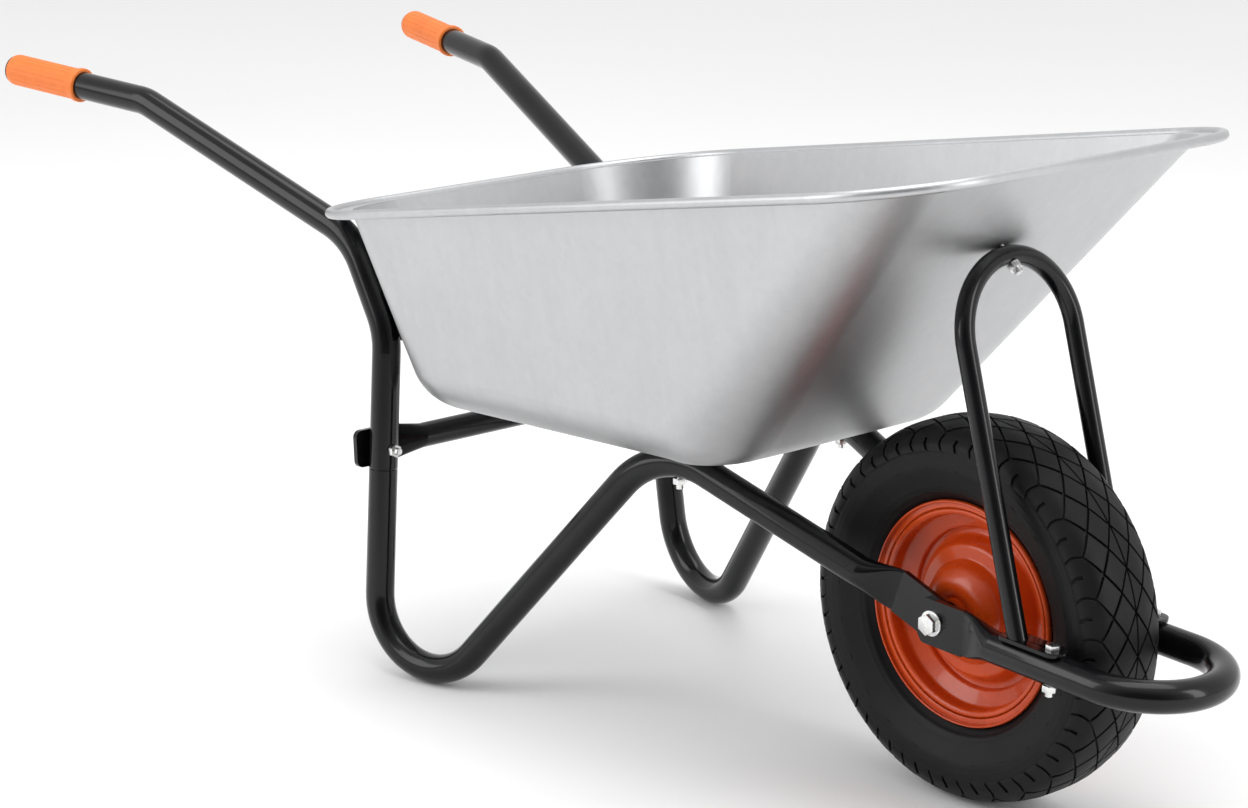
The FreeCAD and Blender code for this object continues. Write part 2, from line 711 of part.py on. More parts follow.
def dome_bolt(name, length, point, direction):
    """Domed tray bolt: a low spherical head on a plain shank."""
    height, radius = size("dome_head_height"), size("dome_head") / 2
    crown = (radius ** 2 + height ** 2) / (2 * height)
    outline = [
        Part.LineSegment(Vector(0, 0, 0), Vector(radius, 0, 0)).toShape(),
        Part.Arc(Vector(radius, 0, 0), round_point(crown, crown - height, radius / 2),
                 Vector(0, 0, -height)).toShape(),
        Part.LineSegment(Vector(0, 0, -height), Vector(0, 0, 0)).toShape(),
    ]
    head = turned(f"{name}_head", outline, aim(point, direction))
    shank = cylinder(f"{name}_shank", "bolt_diameter / 2", length, aim(point, direction))
    return fuse(name, head, shank)


def flush_bolt(name, length, point, direction):
    """Countersunk bolt: its flat head is level with point, its shank ahead of it."""
    head = make("Part::Cone", f"{name}_head", Radius1="countersink / 2",
                Radius2="bolt_diameter / 2", Height="(countersink - bolt_diameter) / 2")
    head.Placement = aim(point, direction)
    shank = cylinder(f"{name}_shank", "bolt_diameter / 2", length, aim(point, direction))
    return fuse(name, head, shank)


def countersink(name, point, direction):
    """The cutter that makes room for a flush bolt's head, a clearance larger all round."""
    cutter = make("Part::Cone", name, Radius1="countersink / 2 + head_gap + countersink_rise",
                  Radius2="bolt_hole / 2",
                  Height="(countersink - bolt_hole) / 2 + head_gap + countersink_rise")
    rise = Vector(direction).normalize() * -size("countersink_rise")
    cutter.Placement = aim(point + rise, direction)
    return cutter


def round_point(crown, depth, radius):
    """A point of the domed head's profile at the given radius."""
    return Vector(radius, 0, depth - math.sqrt(crown ** 2 - radius ** 2))


def nut(name, prefix, height, point, direction):
    """Hexagon nut whose bearing face is at point."""
    blank = make("Part::Prism", f"{name}_blank", Circumradius=f"{prefix}_flats / sqrt(3)",
                 Height=height)
    blank.Polygon = 6
    blank.Placement = aim(point, direction)
    bore = cylinder(f"{name}_bore", f"{prefix}_diameter / 2", height, aim(point, direction))
    return cut(name, blank, bore)


def drill(name, diameter, point, direction, reach="drill_reach"):
    """A cutter centred on point and reaching both ways along direction."""
    back = Vector(direction).normalize() * -size(reach)
    cutter = make("Part::Cylinder", name, Radius=f"{diameter} / 2", Height=f"2 * {reach}")
    cutter.Placement = aim(point + back, direction)
    return cutter


def flat_plate(name, corners, radii, thickness, placement):
    """A plate with rounded corners, centred on its placement's local XY plane."""
    outline = [Vector(x, y, -size(thickness) / 2) for x, y in corners]
    face = fixed(f"{name}_outline", Part.Face(Part.Wire(rounded_edges(outline, radii, True))))
    face.Placement = placement
    plate = bind(doc.addObject("Part::Extrusion", name), LengthFwd=thickness)
    plate.Base = face
    plate.DirMode = "Custom"
    plate.Dir = placement.Rotation.multVec(UP)
    plate.Solid = True
    return plate


NEARLY_FULL = 0.98  # of the half width, so that a straight edge stays between two rounds


def lug_end(name, side, order, direction, run, round_end):
    """Flattened tube end that takes the axle bolt, and where the tube meets it."""
    centre = axle + Vector(0, side * lug_offset(order), 0)
    half = size("lug_width") / 2
    past = size("lug_overhang")
    if round_end:
        corners = [(-run, -half), (half, -half), (half, half), (-run, half)]
        radii = [size("flat_edge"), half * NEARLY_FULL, half * NEARLY_FULL, size("flat_edge")]
    else:
        start, cut_half = past - size("lug_chamfer_run"), half - size("lug_chamfer")
        corners = [(-run, -half), (start, -half), (past, -cut_half),
                   (past, cut_half), (start, half), (-run, half)]
        radii = [size("flat_edge")] + [size("lug_corner")] * 4 + [size("flat_edge")]
    along = Vector(direction) * -1
    flat = flat_plate(f"{name}_flat", corners, radii, "lug_thickness",
                      Placement(centre, frame_rotation(along, Vector(0, 1, 0))))
    flat_start = centre + Vector(direction) * run
    return flat, flat_start


def frame_rotation(x_axis, z_axis):
    x_axis = Vector(x_axis).normalize()
    z_axis = Vector(z_axis).normalize()
    return Rotation(x_axis, z_axis.cross(x_axis), z_axis, "XZY")


handle_tubes, leg_tubes = {}, {}
floor_lift = tube_radius + size("seat_gap") + size("tray_sheet")
for side_name, side in SIDES.items():
    spots = side_corners(side, half_span, foot_height, apex_height)
    leg_line = (spots["foot"] - spots["knee"]).normalize()

    def on_leg(height):
        return spots["knee"] + leg_line * ((height - spots["knee"].z) / leg_line.z)

    brace_rear = Vector(leg_line.z, 0, -leg_line.x).normalize()
    brace_spot = on_leg(size("brace_height"))
    brace_drill = drill(f"brace_drill_{side_name}", "bolt_hole", brace_spot, brace_rear)

    upper_end = on_leg(size("joint_height") + size("joint_gap") / 2)
    lower_end = on_leg(size("joint_height") - size("joint_gap") / 2)
    inward = (spots["wrist"] - spots["tip"]).normalize()
    handle_end = spots["tip"] + inward * (size("grip_wall") + size("fit_clearance"))
    handle_edges = rounded_edges([handle_end, spots["wrist"], spots["shoulder"],
                                  spots["knee"], upper_end],
                                 [size("wrist_radius"), size("shoulder_radius"),
                                  size("knee_radius")])
    outer, inner = tube(f"handle_{side_name}", handle_edges,
                        "tube_diameter / 2", "tube_diameter / 2 - tube_wall")
    handle_tubes[side_name] = node(f"handle_tube_{side_name}",
                                   cut(f"handle_tube_{side_name}", outer, inner, brace_drill))

    toward = Vector(axle.x - spots["apex"].x, 0, axle.z - spots["apex"].z).normalize()
    flat, flat_start = lug_end(f"leg_lug_{side_name}", side, 1, toward * -1,
                               size("lug_run"), True)
    lug_line = (spots["lug"] - spots["apex"]).normalize()
    round_end = spots["lug"] - lug_line * (size("lug_run") + size("flatten_run"))
    leg_edges = rounded_edges([lower_end, spots["foot"], spots["apex"], round_end],
                              [size("foot_radius"), size("apex_radius")])
    outer, inner = tube(f"leg_{side_name}", leg_edges,
                        "tube_diameter / 2", "tube_diameter / 2 - tube_wall")
    pressed = pressed_flat(f"leg_press_{side_name}", round_end, lug_line, flat_start, toward,
                           "tube_diameter / 2", "lug_width", "lug_thickness")
    collar = cylinder(f"joint_collar_{side_name}", "tube_diameter / 2", "joint_shoulder",
                      aim(lower_end, leg_line))
    shoulder_end = lower_end + leg_line * size("joint_shoulder")
    spigot = cylinder(f"spigot_{side_name}", "tube_diameter / 2 - tube_wall - fit_clearance",
                      "spigot_length + joint_shoulder", aim(shoulder_end, leg_line * -1))
    spigot_bore = cylinder(f"spigot_bore_{side_name}",
                           "tube_diameter / 2 - 2 * tube_wall - fit_clearance",
                           "spigot_length + joint_shoulder + 2 * spigot_spare",
                           aim(shoulder_end + leg_line * size("spigot_spare"), leg_line * -1))
    seat_spot = Vector(seat.x, side * abs(seat.y), seat.z)
    seat_drill = drill(f"seat_drill_{side_name}", "bolt_hole", seat_spot, floor_normal)
    floor_top = seat_spot + floor_normal * floor_lift
    sink = countersink(f"tube_sink_{side_name}", floor_top, floor_normal * -1)
    leg_hollow = cut(f"leg_hollow_{side_name}", outer, inner)
    leg_solid = fuse(f"leg_solid_{side_name}", leg_hollow, pressed, flat, collar, spigot)
    axle_drill = drill(f"leg_axle_drill_{side_name}", "axle_hole",
                       axle + Vector(0, side * lug_offset(1), 0), Vector(0, 1, 0))
    leg_tubes[side_name] = node(f"leg_tube_{side_name}",
                                cut(f"leg_tube_{side_name}", leg_solid, spigot_bore,
                                    brace_drill, seat_drill, sink, axle_drill))

# ---------------------------------------------------------------- front hoop

def on_hoop(distance, side_y, rise=0.0):
    """A point of the tilted hoop plane, measured forward from the axle."""
    return axle + hoop_along * distance + Vector(0, side_y, 0) + hoop_up * rise


hoop_half = size("tyre_width") / 2 + size("hoop_side_gap") + tube_radius
hoop_start = size("hoop_flat") + size("flatten_run")
hoop_edges = [
    Part.LineSegment(on_hoop(hoop_start, -hoop_half),
                     on_hoop(hoop_reach - hoop_half, -hoop_half)).toShape(),
    Part.Arc(on_hoop(hoop_reach - hoop_half, -hoop_half), on_hoop(hoop_reach, 0),
             on_hoop(hoop_reach - hoop_half, hoop_half)).toShape(),
    Part.LineSegment(on_hoop(hoop_reach - hoop_half, hoop_half),
                     on_hoop(hoop_start, hoop_half)).toShape(),
]
outer, inner = tube("hoop", hoop_edges, "tube_diameter / 2", "tube_diameter / 2 - tube_wall")
hoop_pieces = [cut("hoop_hollow", outer, inner)]
hoop_drills = []
stay_half = size("stay_spread") / 2
plate_bolt_spots = {}
for side_name, side in SIDES.items():
    flat, flat_start = lug_end(f"hoop_lug_{side_name}", side, 2, hoop_along,
                               size("hoop_flat"), False)
    pressed = pressed_flat(f"hoop_press_{side_name}", on_hoop(hoop_start, side * hoop_half),
                           hoop_along * -1, flat_start, hoop_along * -1,
                           "tube_diameter / 2", "lug_width", "lug_thickness")
    hoop_pieces += [flat, pressed]
    hoop_drills.append(drill(f"hoop_axle_drill_{side_name}", "axle_hole",
                             axle + Vector(0, side * lug_offset(2), 0), Vector(0, 1, 0)))
    spot = on_hoop(size("stay_station") + size("foot_plate_bolt"), side * hoop_half)
    plate_bolt_spots[side_name] = spot
    hoop_drills.append(drill(f"hoop_plate_drill_{side_name}", "bolt_hole", spot, hoop_up))
hoop_solid = fuse("hoop_solid", *hoop_pieces)
node("front_hoop", cut("front_hoop", hoop_solid, *hoop_drills))

# ---------------------------------------------------------------- stay

stay_radius = size("stay_diameter") / 2
wall_low = rounded_corner(*floor_outline(0)[0][1:4], floor_outline(0)[1][2])[1]
wall_high = rounded_corner(*mouth_outline(0)[0][1:4], mouth_outline(0)[1][2])[1]
wall_up = (wall_high - wall_low).normalize()
wall_out = Vector(wall_up.z, 0, -wall_up.x)
stay_off = stay_radius + size("seat_gap")
climb = (size("stay_height") - wall_low.z - wall_out.z * stay_off) / wall_up.z
stay_top = wall_low + wall_up * climb + wall_out * stay_off
plate_top = tube_radius + size("foot_plate_thickness")
stay_foot = on_hoop(size("stay_station"), 0, plate_top)
stay_up = (stay_top - stay_foot).normalize()
stay_length = (stay_top - stay_foot).Length


def on_stay(height, side_y):
    return stay_foot + stay_up * height + Vector(0, side_y, 0)


arch = stay_length - stay_half
stay_edges = [
    Part.LineSegment(on_stay(-size("stay_trim"), -stay_half), on_stay(arch, -stay_half)).toShape(),
    Part.Arc(on_stay(arch, -stay_half), on_stay(stay_length, 0),
             on_stay(arch, stay_half)).toShape(),
    Part.LineSegment(on_stay(arch, stay_half), on_stay(-size("stay_trim"), stay_half)).toShape(),
]
outer, inner = tube("stay", stay_edges, "stay_diameter / 2", "stay_diameter / 2 - stay_wall")
saw = make("Part::Box", "stay_saw", Length="stay_diameter * 6", Width="stay_spread * 2",
           Height="stay_trim * 3")
saw.Placement = Placement(stay_foot - hoop_along * stay_radius * 6 - hoop_up * size("stay_trim") * 3
                          + Vector(0, -size("stay_spread"), 0),
                          frame_rotation(hoop_along, hoop_up))
stay_drill = drill("stay_drill", "bolt_hole", stay_top, wall_out)
node("stay_hoop", cut("stay_hoop", outer, inner, saw, stay_drill))

foot_rear = size("foot_plate_length") - size("foot_plate_bolt") - size("foot_plate_width") / 2
plate_radii = [size("plate_corner"), size("plate_round"), size("plate_round"),
               size("plate_corner")]
for side_name, side in SIDES.items():
    half = size("foot_plate_width") / 2
    corners = [(-foot_rear, -half), (size("foot_plate_length") - foot_rear, -half),
               (size("foot_plate_length") - foot_rear, half), (-foot_rear, half)]
    centre = on_hoop(size("stay_station"), side * hoop_half,
                     tube_radius + size("foot_plate_thickness") / 2)
    blank = flat_plate(f"stay_foot_blank_{side_name}", corners, plate_radii,
                       "foot_plate_thickness",
                       Placement(centre, frame_rotation(hoop_along, hoop_up)))
    plate_drill = drill(f"foot_drill_{side_name}", "bolt_hole",
                        plate_bolt_spots[side_name], hoop_up)
    node(f"stay_foot_{side_name}", cut(f"stay_foot_{side_name}", blank, plate_drill))

# ---------------------------------------------------------------- cross brace

right_leg = side_corners(-1, half_span, foot_height, apex_height)
leg_line = (right_leg["foot"] - right_leg["knee"]).normalize()
brace_rear = Vector(leg_line.z, 0, -leg_line.x).normalize()
if brace_rear.x > 0:
    brace_rear = brace_rear * -1
leg_at_brace = right_leg["knee"] + leg_line * ((size("brace_height") - right_leg["knee"].z)
                                               / leg_line.z)
brace_centre = leg_at_brace + brace_rear * (tube_radius + size("lug_thickness") / 2
                                            + size("seat_gap"))
brace_up = Vector(-leg_line.x, 0, -leg_line.z).normalize()
brace_half = -leg_at_brace.y
flat_inner = brace_half - size("brace_flat") / 2
round_half = flat_inner - size("flatten_run")


def on_brace(offset):
    return Vector(brace_centre.x, offset, brace_centre.z)


pieces = []
for label, radius in (("outer", "brace_diameter / 2"), ("inner", "brace_diameter / 2 - tube_wall")):
    rod = cylinder(f"brace_{label}", radius, 2 * round_half, aim(on_brace(-round_half),
                                                                  Vector(0, 1, 0)))
    pieces.append(rod)
brace_parts = [cut("brace_hollow", *pieces)]
brace_drills = []
for side_name, side in SIDES.items():
    outward = Vector(0, side, 0)
    ring = make("Part::Circle", f"brace_round_{side_name}", Radius="brace_diameter / 2")
    ring.Placement = aim(on_brace(side * round_half), outward, brace_up)
    oval = make("Part::Ellipse", f"brace_oval_{side_name}",
                MajorRadius="brace_flat_width / 2", MinorRadius="lug_thickness / 2")
    oval.Placement = aim(on_brace(side * flat_inner), outward, brace_up)
    press = doc.addObject("Part::Loft", f"brace_press_{side_name}")
    press.Sections = [ring, oval]
    press.Solid = True
    half, tall = size("brace_flat") / 2, size("brace_flat_width") / 2
    flat = flat_plate(f"brace_flat_{side_name}",
                      [(-half, -tall), (half, -tall), (half, tall), (-half, tall)],
                      [size("flat_edge"), size("brace_corner"), size("brace_corner"),
                       size("flat_edge")], "lug_thickness",
                      Placement(on_brace(side * brace_half),
                                frame_rotation(outward, brace_rear)))
    brace_parts += [press, flat]
    brace_drills.append(drill(f"brace_end_drill_{side_name}", "bolt_hole",
                              on_brace(side * brace_half), brace_rear))
brace_solid = fuse("brace_solid", *brace_parts)
node("cross_brace", cut("cross_brace", brace_solid, *brace_drills))

# ---------------------------------------------------------------- tray and strap bolts

back_low = at(floor_back_x, 0, size("floor_back_height"))
back_top_x = rim_back_x + size("flange_back")
back_high = at(back_top_x, 0, rim_height(flange_drop)(back_top_x))
back_up = (back_high - back_low).normalize()
back_out = Vector(-back_up.z, 0, back_up.x)
strap_middle = size("strap_low") + size("strap_width") / 2
strap_point = back_low + back_up * ((strap_middle - back_low.z) / back_up.z)

strap_bolts, strap_nuts, tray_drills = [], [], []
for side_name, side in SIDES.items():
    spot = strap_point + Vector(0, side * (size("strap_inner") + size("strap_bolt_inset")), 0)
    strap_drill = drill(f"strap_drill_{side_name}", "bolt_hole", spot, back_out)
    tray_drills.append(strap_drill)
    node(f"tray_strap_{side_name}",
         cut(f"tray_strap_{side_name}", straps[side_name], strap_drill))
    inside = spot - back_out * (size("tray_sheet") + size("head_gap"))
    outside = spot + back_out * (size("strap_thickness") + size("head_gap"))
    strap_bolts.append(dome_bolt(f"strap_bolt_{side_name}",
                                 "tray_sheet + strap_thickness + 2 * head_gap + nut_height"
                                 " + thread_past", inside, back_out))
    strap_nuts.append(nut(f"strap_nut_{side_name}", "bolt", "nut_height", outside, back_out))
node("strap_bolts", group("strap_bolts", strap_bolts))
node("strap_nuts", group("strap_nuts", strap_nuts))

floor_bolts, floor_nuts = [], []
for side_name, side in SIDES.items():
    on_axis = Vector(seat.x, side * abs(seat.y), seat.z)
    inside = on_axis + floor_normal * floor_lift
    floor_bolts.append(flush_bolt(f"floor_bolt_{side_name}",
                                  "tube_diameter + seat_gap + tray_sheet + nut_gap"
                                  " + nut_height + thread_past", inside, floor_normal * -1))
    floor_nuts.append(nut(f"floor_nut_{side_name}", "bolt", "nut_height",
                          on_axis - floor_normal * (tube_radius + size("nut_gap")),
                          floor_normal * -1))
    tray_drills.append(drill(f"floor_drill_{side_name}", "bolt_hole", inside, floor_normal))
    tray_drills.append(countersink(f"floor_sink_{side_name}", inside, floor_normal * -1))
node("floor_bolts", group("floor_bolts", floor_bolts))
node("floor_nuts", group("floor_nuts", floor_nuts))

stay_inside = stay_top - wall_out * (stay_off + size("tray_sheet") + size("head_gap"))
node("stay_bolt", dome_bolt("stay_bolt", "stay_diameter + seat_gap + tray_sheet + head_gap"
                            " + nut_gap + nut_height + thread_past", stay_inside, wall_out))
node("stay_nut", nut("stay_nut", "bolt", "nut_height",
                     stay_top + wall_out * (stay_radius + size("nut_gap")), wall_out))
tray_drills.append(drill("tray_stay_drill", "bolt_hole", stay_inside, wall_out))
node("tray", cut("tray", tray_whole, *tray_drills))

# ---------------------------------------------------------------- frame bolts

brace_bolts, brace_nuts, foot_bolts, foot_nuts = [], [], [], []
for side_name, side in SIDES.items():
    start = on_brace(side * brace_half) + brace_rear * (size("lug_thickness") / 2)
    brace_bolts.append(bolt(f"brace_bolt_{side_name}", "bolt",
                            "lug_thickness + seat_gap + tube_diameter + nut_height"
                            " + thread_past", start, brace_rear * -1))
    on_tube = on_brace(side * brace_half) - brace_rear * (size("lug_thickness") / 2
                                                          + size("seat_gap")
                                                          + size("tube_diameter"))
    brace_nuts.append(nut(f"brace_nut_{side_name}", "bolt", "nut_height", on_tube,
                          brace_rear * -1))
    top = plate_bolt_spots[side_name] + hoop_up * plate_top
    foot_bolts.append(bolt(f"foot_bolt_{side_name}", "bolt",
                           "tube_diameter + foot_plate_thickness + nut_height + thread_past",
                           top, hoop_up * -1))
    foot_nuts.append(nut(f"foot_nut_{side_name}", "bolt", "nut_height",
                         plate_bolt_spots[side_name] - hoop_up * tube_radius, hoop_up * -1))
node("brace_bolts", group("brace_bolts", brace_bolts))
node("brace_nuts", group("brace_nuts", brace_nuts))
node("foot_bolts", group("foot_bolts", foot_bolts))
node("foot_nuts", group("foot_nuts", foot_nuts))

# ---------------------------------------------------------------- grips

for side_name, side in SIDES.items():
    spots = side_corners(side, half_span, foot_height, apex_height)
    inward = (spots["wrist"] - spots["tip"]).normalize()
    bore = tube_radius + size("fit_clearance")
    collar = grip_radius + size("grip_collar")
    long, neck = size("grip_length"), size("grip_length") - size("grip_collar_length")
    cap, rounding = size("grip_wall"), size("grip_round")
    lean = rounding * (1 - math.sqrt(0.5))
    profile = [Vector(0, 0, 0), Vector(grip_radius - rounding, 0, 0),
               Vector(grip_radius, 0, rounding), Vector(grip_radius, 0, neck),
               Vector(collar, 0, neck), Vector(collar, 0, long), Vector(bore, 0, long),
               Vector(bore, 0, cap), Vector(0, 0, cap), Vector(0, 0, 0)]
    outline = [Part.LineSegment(a, b).toShape() for a, b in zip(profile, profile[1:])]
    outline[1] = Part.Arc(profile[1], Vector(grip_radius - lean, 0, lean), profile[2]).toShape()
    blank = turned(f"grip_blank_{side_name}", outline, aim(spots["tip"], inward))
    flutes = []
    for index in range(int(size("flute_count"))):
        angle = 2 * math.pi * index / size("flute_count")
        reach = grip_radius + size("grip_flute")
        local = Vector(reach * math.cos(angle), reach * math.sin(angle),
                       rounding + size("flute_inset"))
        flute = cylinder(f"flute_{side_name}_{index}", "grip_flute * 2",
                         "grip_length - grip_collar_length - grip_round"
                         " - 2 * flute_inset",
                         Placement(aim(spots["tip"], inward).multVec(local),
                                   aim(spots["tip"], inward).Rotation))
        flutes.append(flute)
    node(f"grip_{side_name}", cut(f"grip_{side_name}", blank,
                                  group(f"flutes_{side_name}", flutes)))

# ---------------------------------------------------------------- axle

stack_half = (size("hub_length") / 2 + size("spacer_length") + 2 * size("lug_thickness"))
head_side = axle + Vector(0, -stack_half - size("washer_thickness"), 0)
node("axle_bolt", bolt("axle_bolt", "axle",
                       "hub_length + 2 * spacer_length + 4 * lug_thickness"
                       " + 2 * washer_thickness + axle_nut_height + thread_past",
                       head_side, Vector(0, 1, 0)))
node("axle_nut", nut("axle_nut", "axle", "axle_nut_height",
                     axle + Vector(0, stack_half + size("washer_thickness"), 0),
                     Vector(0, 1, 0)))
for side_name, side in SIDES.items():
    node(f"axle_washer_{side_name}",
         ring_body(f"axle_washer_{side_name}", "washer_diameter / 2", "axle_hole / 2",
                   "washer_thickness", along_axle(side, stack_half)))
    node(f"axle_spacer_{side_name}",
         ring_body(f"axle_spacer_{side_name}", "sleeve_diameter / 2", "axle_hole / 2",
                   "spacer_length", along_axle(side, size("hub_length") / 2)))
node("hub_sleeve", ring_body("hub_sleeve", "hub_sleeve_diameter / 2", "axle_hole / 2",
                             "hub_length - 2 * bearing_width",
                             along_axle(-1, -size("hub_length") / 2 + size("bearing_width"))))

# ---------------------------------------------------------------- wheel

node("hub_tube", ring_body("hub_tube", "bearing_outer / 2 + hub_wall", "bearing_outer / 2",
                           "hub_length", along_axle(1, -size("hub_length") / 2)))


def profile_edges(corners, radii, closed=False):
    """Rounded outline in the local XZ plane from (radius, offset) pairs."""
    return rounded_edges([Vector(r, 0, z) for r, z in corners], radii, closed)


def disc_section():
    """Section of one pressed half of the wheel, a sheet of even thickness."""
    skin = size("disc_sheet") / 2
    edge = size("flange_radius") - skin
    seat = size("seat_radius") - skin
    lip = size("flange_offset") - skin
    well = size("well_radius")
    shoulder = size("plateau_offset")
    dome, top = size("dome_radius"), size("dome_offset") - skin
    hub = size("bearing_outer") / 2 + size("hub_wall") + size("weld_gap")
    corners = [(edge, lip + size("lip_curl")), (edge, lip), (seat, lip),
               (seat, size("seat_inner")), (well, size("well_offset")), (well, skin),
               (well - size("web_width"), skin), (size("plateau_radius"), shoulder),
               (dome, shoulder + size("shoulder_slope")), (dome - size("dome_lean"), top), (hub, top)]
    radii = [2.5, 3, 5, 3, 3, 6, 7, 3.5, 12]
    wire = Part.Wire(profile_edges(corners, radii))
    sides = [wire.makeOffset2D(shift, fill=False, openResult=True) for shift in (skin, -skin)]
    ends = [[v.Point for v in side.OrderedVertexes] for side in sides]
    if (ends[0][0] - ends[1][0]).Length > (ends[0][0] - ends[1][-1]).Length:
        ends[1].reverse()
    closing = [Part.LineSegment(ends[0][n], ends[1][n]).toShape() for n in (0, -1)]
    return Part.__sortEdges__(sides[0].Edges + sides[1].Edges + closing)


def valve_frame():
    """Where the valve passes the left disc's well wall, and its way out."""
    skin = size("disc_sheet") / 2
    top = Vector(size("seat_radius") - skin, 0, size("seat_inner"))
    low = Vector(size("well_radius"), 0, size("well_offset"))
    along = (low - top).normalize()
    outward = Vector(along.z, 0, -along.x)
    frame = along_axle(1, 0)
    return frame.multVec((top + low) / 2), frame.Rotation.multVec(outward)


valve_spot, valve_out = valve_frame()
valve_drill = drill("valve_drill", "valve_hole", valve_spot, valve_out, "valve_drill_reach")
node("wheel_disc_right", turned("wheel_disc_right", disc_section(), along_axle(-1, 0)))
left_blank = turned("wheel_disc_blank", disc_section(), along_axle(1, 0))
node("wheel_disc_left", cut("wheel_disc_left", left_blank, valve_drill))

valve_inside = valve_spot - valve_out * (size("disc_sheet") / 2)
stem = cylinder("valve_rod", "valve_diameter / 2", "valve_length", aim(valve_inside, valve_out))
stem_foot = cylinder("valve_base", "valve_base / 2", "valve_foot",
                     aim(valve_inside - valve_out * size("valve_foot"), valve_out))
stem_tip = size("valve_length") - size("valve_cap_seat")
cap_spot = valve_inside + valve_out * stem_tip
node("valve_stem", fuse("valve_stem", stem, stem_foot))
cap_blank = cylinder("valve_cap_blank", "valve_cap_diameter / 2", "valve_cap_length",
                     aim(cap_spot, valve_out))
cap_bore = cylinder("valve_cap_bore", "valve_diameter / 2 + fit_clearance",
                    "valve_cap_bore", aim(cap_spot, valve_out))
node("valve_cap", cut("valve_cap", cap_blank, cap_bore))


def flipped(corners):
    """The same outline on the other side of the middle plane, read backwards."""
    return [(r, -z) for r, z in reversed(corners)]


bead_face = size("flange_offset") - size("disc_sheet") - size("fit_clearance")
bead_foot = size("seat_radius") + size("fit_clearance")


side_wall = wheel_radius - size("flange_radius")


def wall_radii(*shares):
    """Bend radii of the side wall, which follow its height."""
    return [share * side_wall for share in shares]


def cavity(room):
    """Inside of the tyre from crown to bead, drawn in by some room."""
    crown = wheel_radius - size("tyre_crown") - room
    half = size("tyre_width") / 2 - size("tyre_wall") - room
    edge = size("flange_radius")
    corners = [(crown, size("tread_flat")),
               (crown - size("crown_fall"), half - size("crown_inset")),
               (wheel_radius - size("wide_top") * side_wall, half),
               (wheel_radius - size("wide_low") * side_wall, half),
               (edge + size("bead_rise"), bead_face + size("cavity_bulge") - room),
               (edge - size("bead_lip"), bead_face - size("bead_thickness") - room)]
    return corners, wall_radii(0.377, 0.151, 0.126, 0.252, 0.176, 0.0755)


def tyre_section():
    """Horseshoe section of the tyre, open over the rim's well."""
    crown, half = wheel_radius, size("tyre_width") / 2
    edge = size("flange_radius")
    outside = [(bead_foot, bead_face), (edge - size("bead_lip"), bead_face),
               (edge + size("bead_rise"), bead_face + size("bead_bulge")),
               (crown - size("wide_low") * side_wall, half),
               (crown - size("wide_top") * side_wall, half),
               (crown - size("crown_fall"), half - size("crown_inset")),
               (crown, size("tread_flat"))]
    outside_radii = [3, 3.2] + wall_radii(0.252, 0.302, 0.176, 0.176, 0.503)
    inside, inside_radii = cavity(0)
    inside = inside + [(bead_foot, bead_face - size("bead_thickness"))]
    inside_radii = inside_radii + [1.5]
    corners = outside + flipped(outside) + flipped(inside) + inside
    radii = outside_radii + outside_radii[::-1] + inside_radii[::-1] + inside_radii
    return corners, radii


def inner_tube_section(shrink):
    """Section of the air tube; shrink gives its inner skin."""
    inside, radii = cavity(size("tube_room") + shrink)
    foot = (size("seat_radius") - size("air_foot_drop") + shrink,
            size("seat_inner") - size("air_foot_inset") - shrink)
    return inside + [foot] + flipped([foot]) + flipped(inside), radii + [4, 4] + radii[::-1]


node("tyre", turned("tyre", profile_edges(*tyre_section(), True), along_axle(1, 0)))
air_outer = turned("air_outer", profile_edges(*inner_tube_section(0), True), along_axle(1, 0))
air_inner = turned("air_inner", profile_edges(*inner_tube_section(size("inner_tube_wall")),
                                              True), along_axle(1, 0))
node("inner_tube", cut("inner_tube", air_outer, air_inner))

# ---------------------------------------------------------------- bearings

pitch_radius = (size("bearing_outer") + size("bearing_bore")) / 4
ball_radius = size("ball_diameter") / 2
race_radius = ball_radius + size("race_clearance")
groove_half = math.sqrt(race_radius ** 2 - size("ring_shoulder") ** 2)


def bearing_ring(name, plain_radius, inward, placement):
    """One ring: plain on one face, with the ball groove on the other."""
    half = size("bearing_width") / 2
    shoulder = pitch_radius + inward * size("ring_shoulder")
    deepest = pitch_radius + inward * race_radius
    low, high = Vector(shoulder, 0, -groove_half), Vector(shoulder, 0, groove_half)
    corners = [high, Vector(shoulder, 0, half), Vector(plain_radius, 0, half),
               Vector(plain_radius, 0, -half), Vector(shoulder, 0, -half), low]
    edges = [Part.LineSegment(a, b).toShape() for a, b in zip(corners, corners[1:])]
    edges.append(Part.Arc(low, Vector(deepest, 0, 0), high).toShape())
    return turned(name, edges, placement)


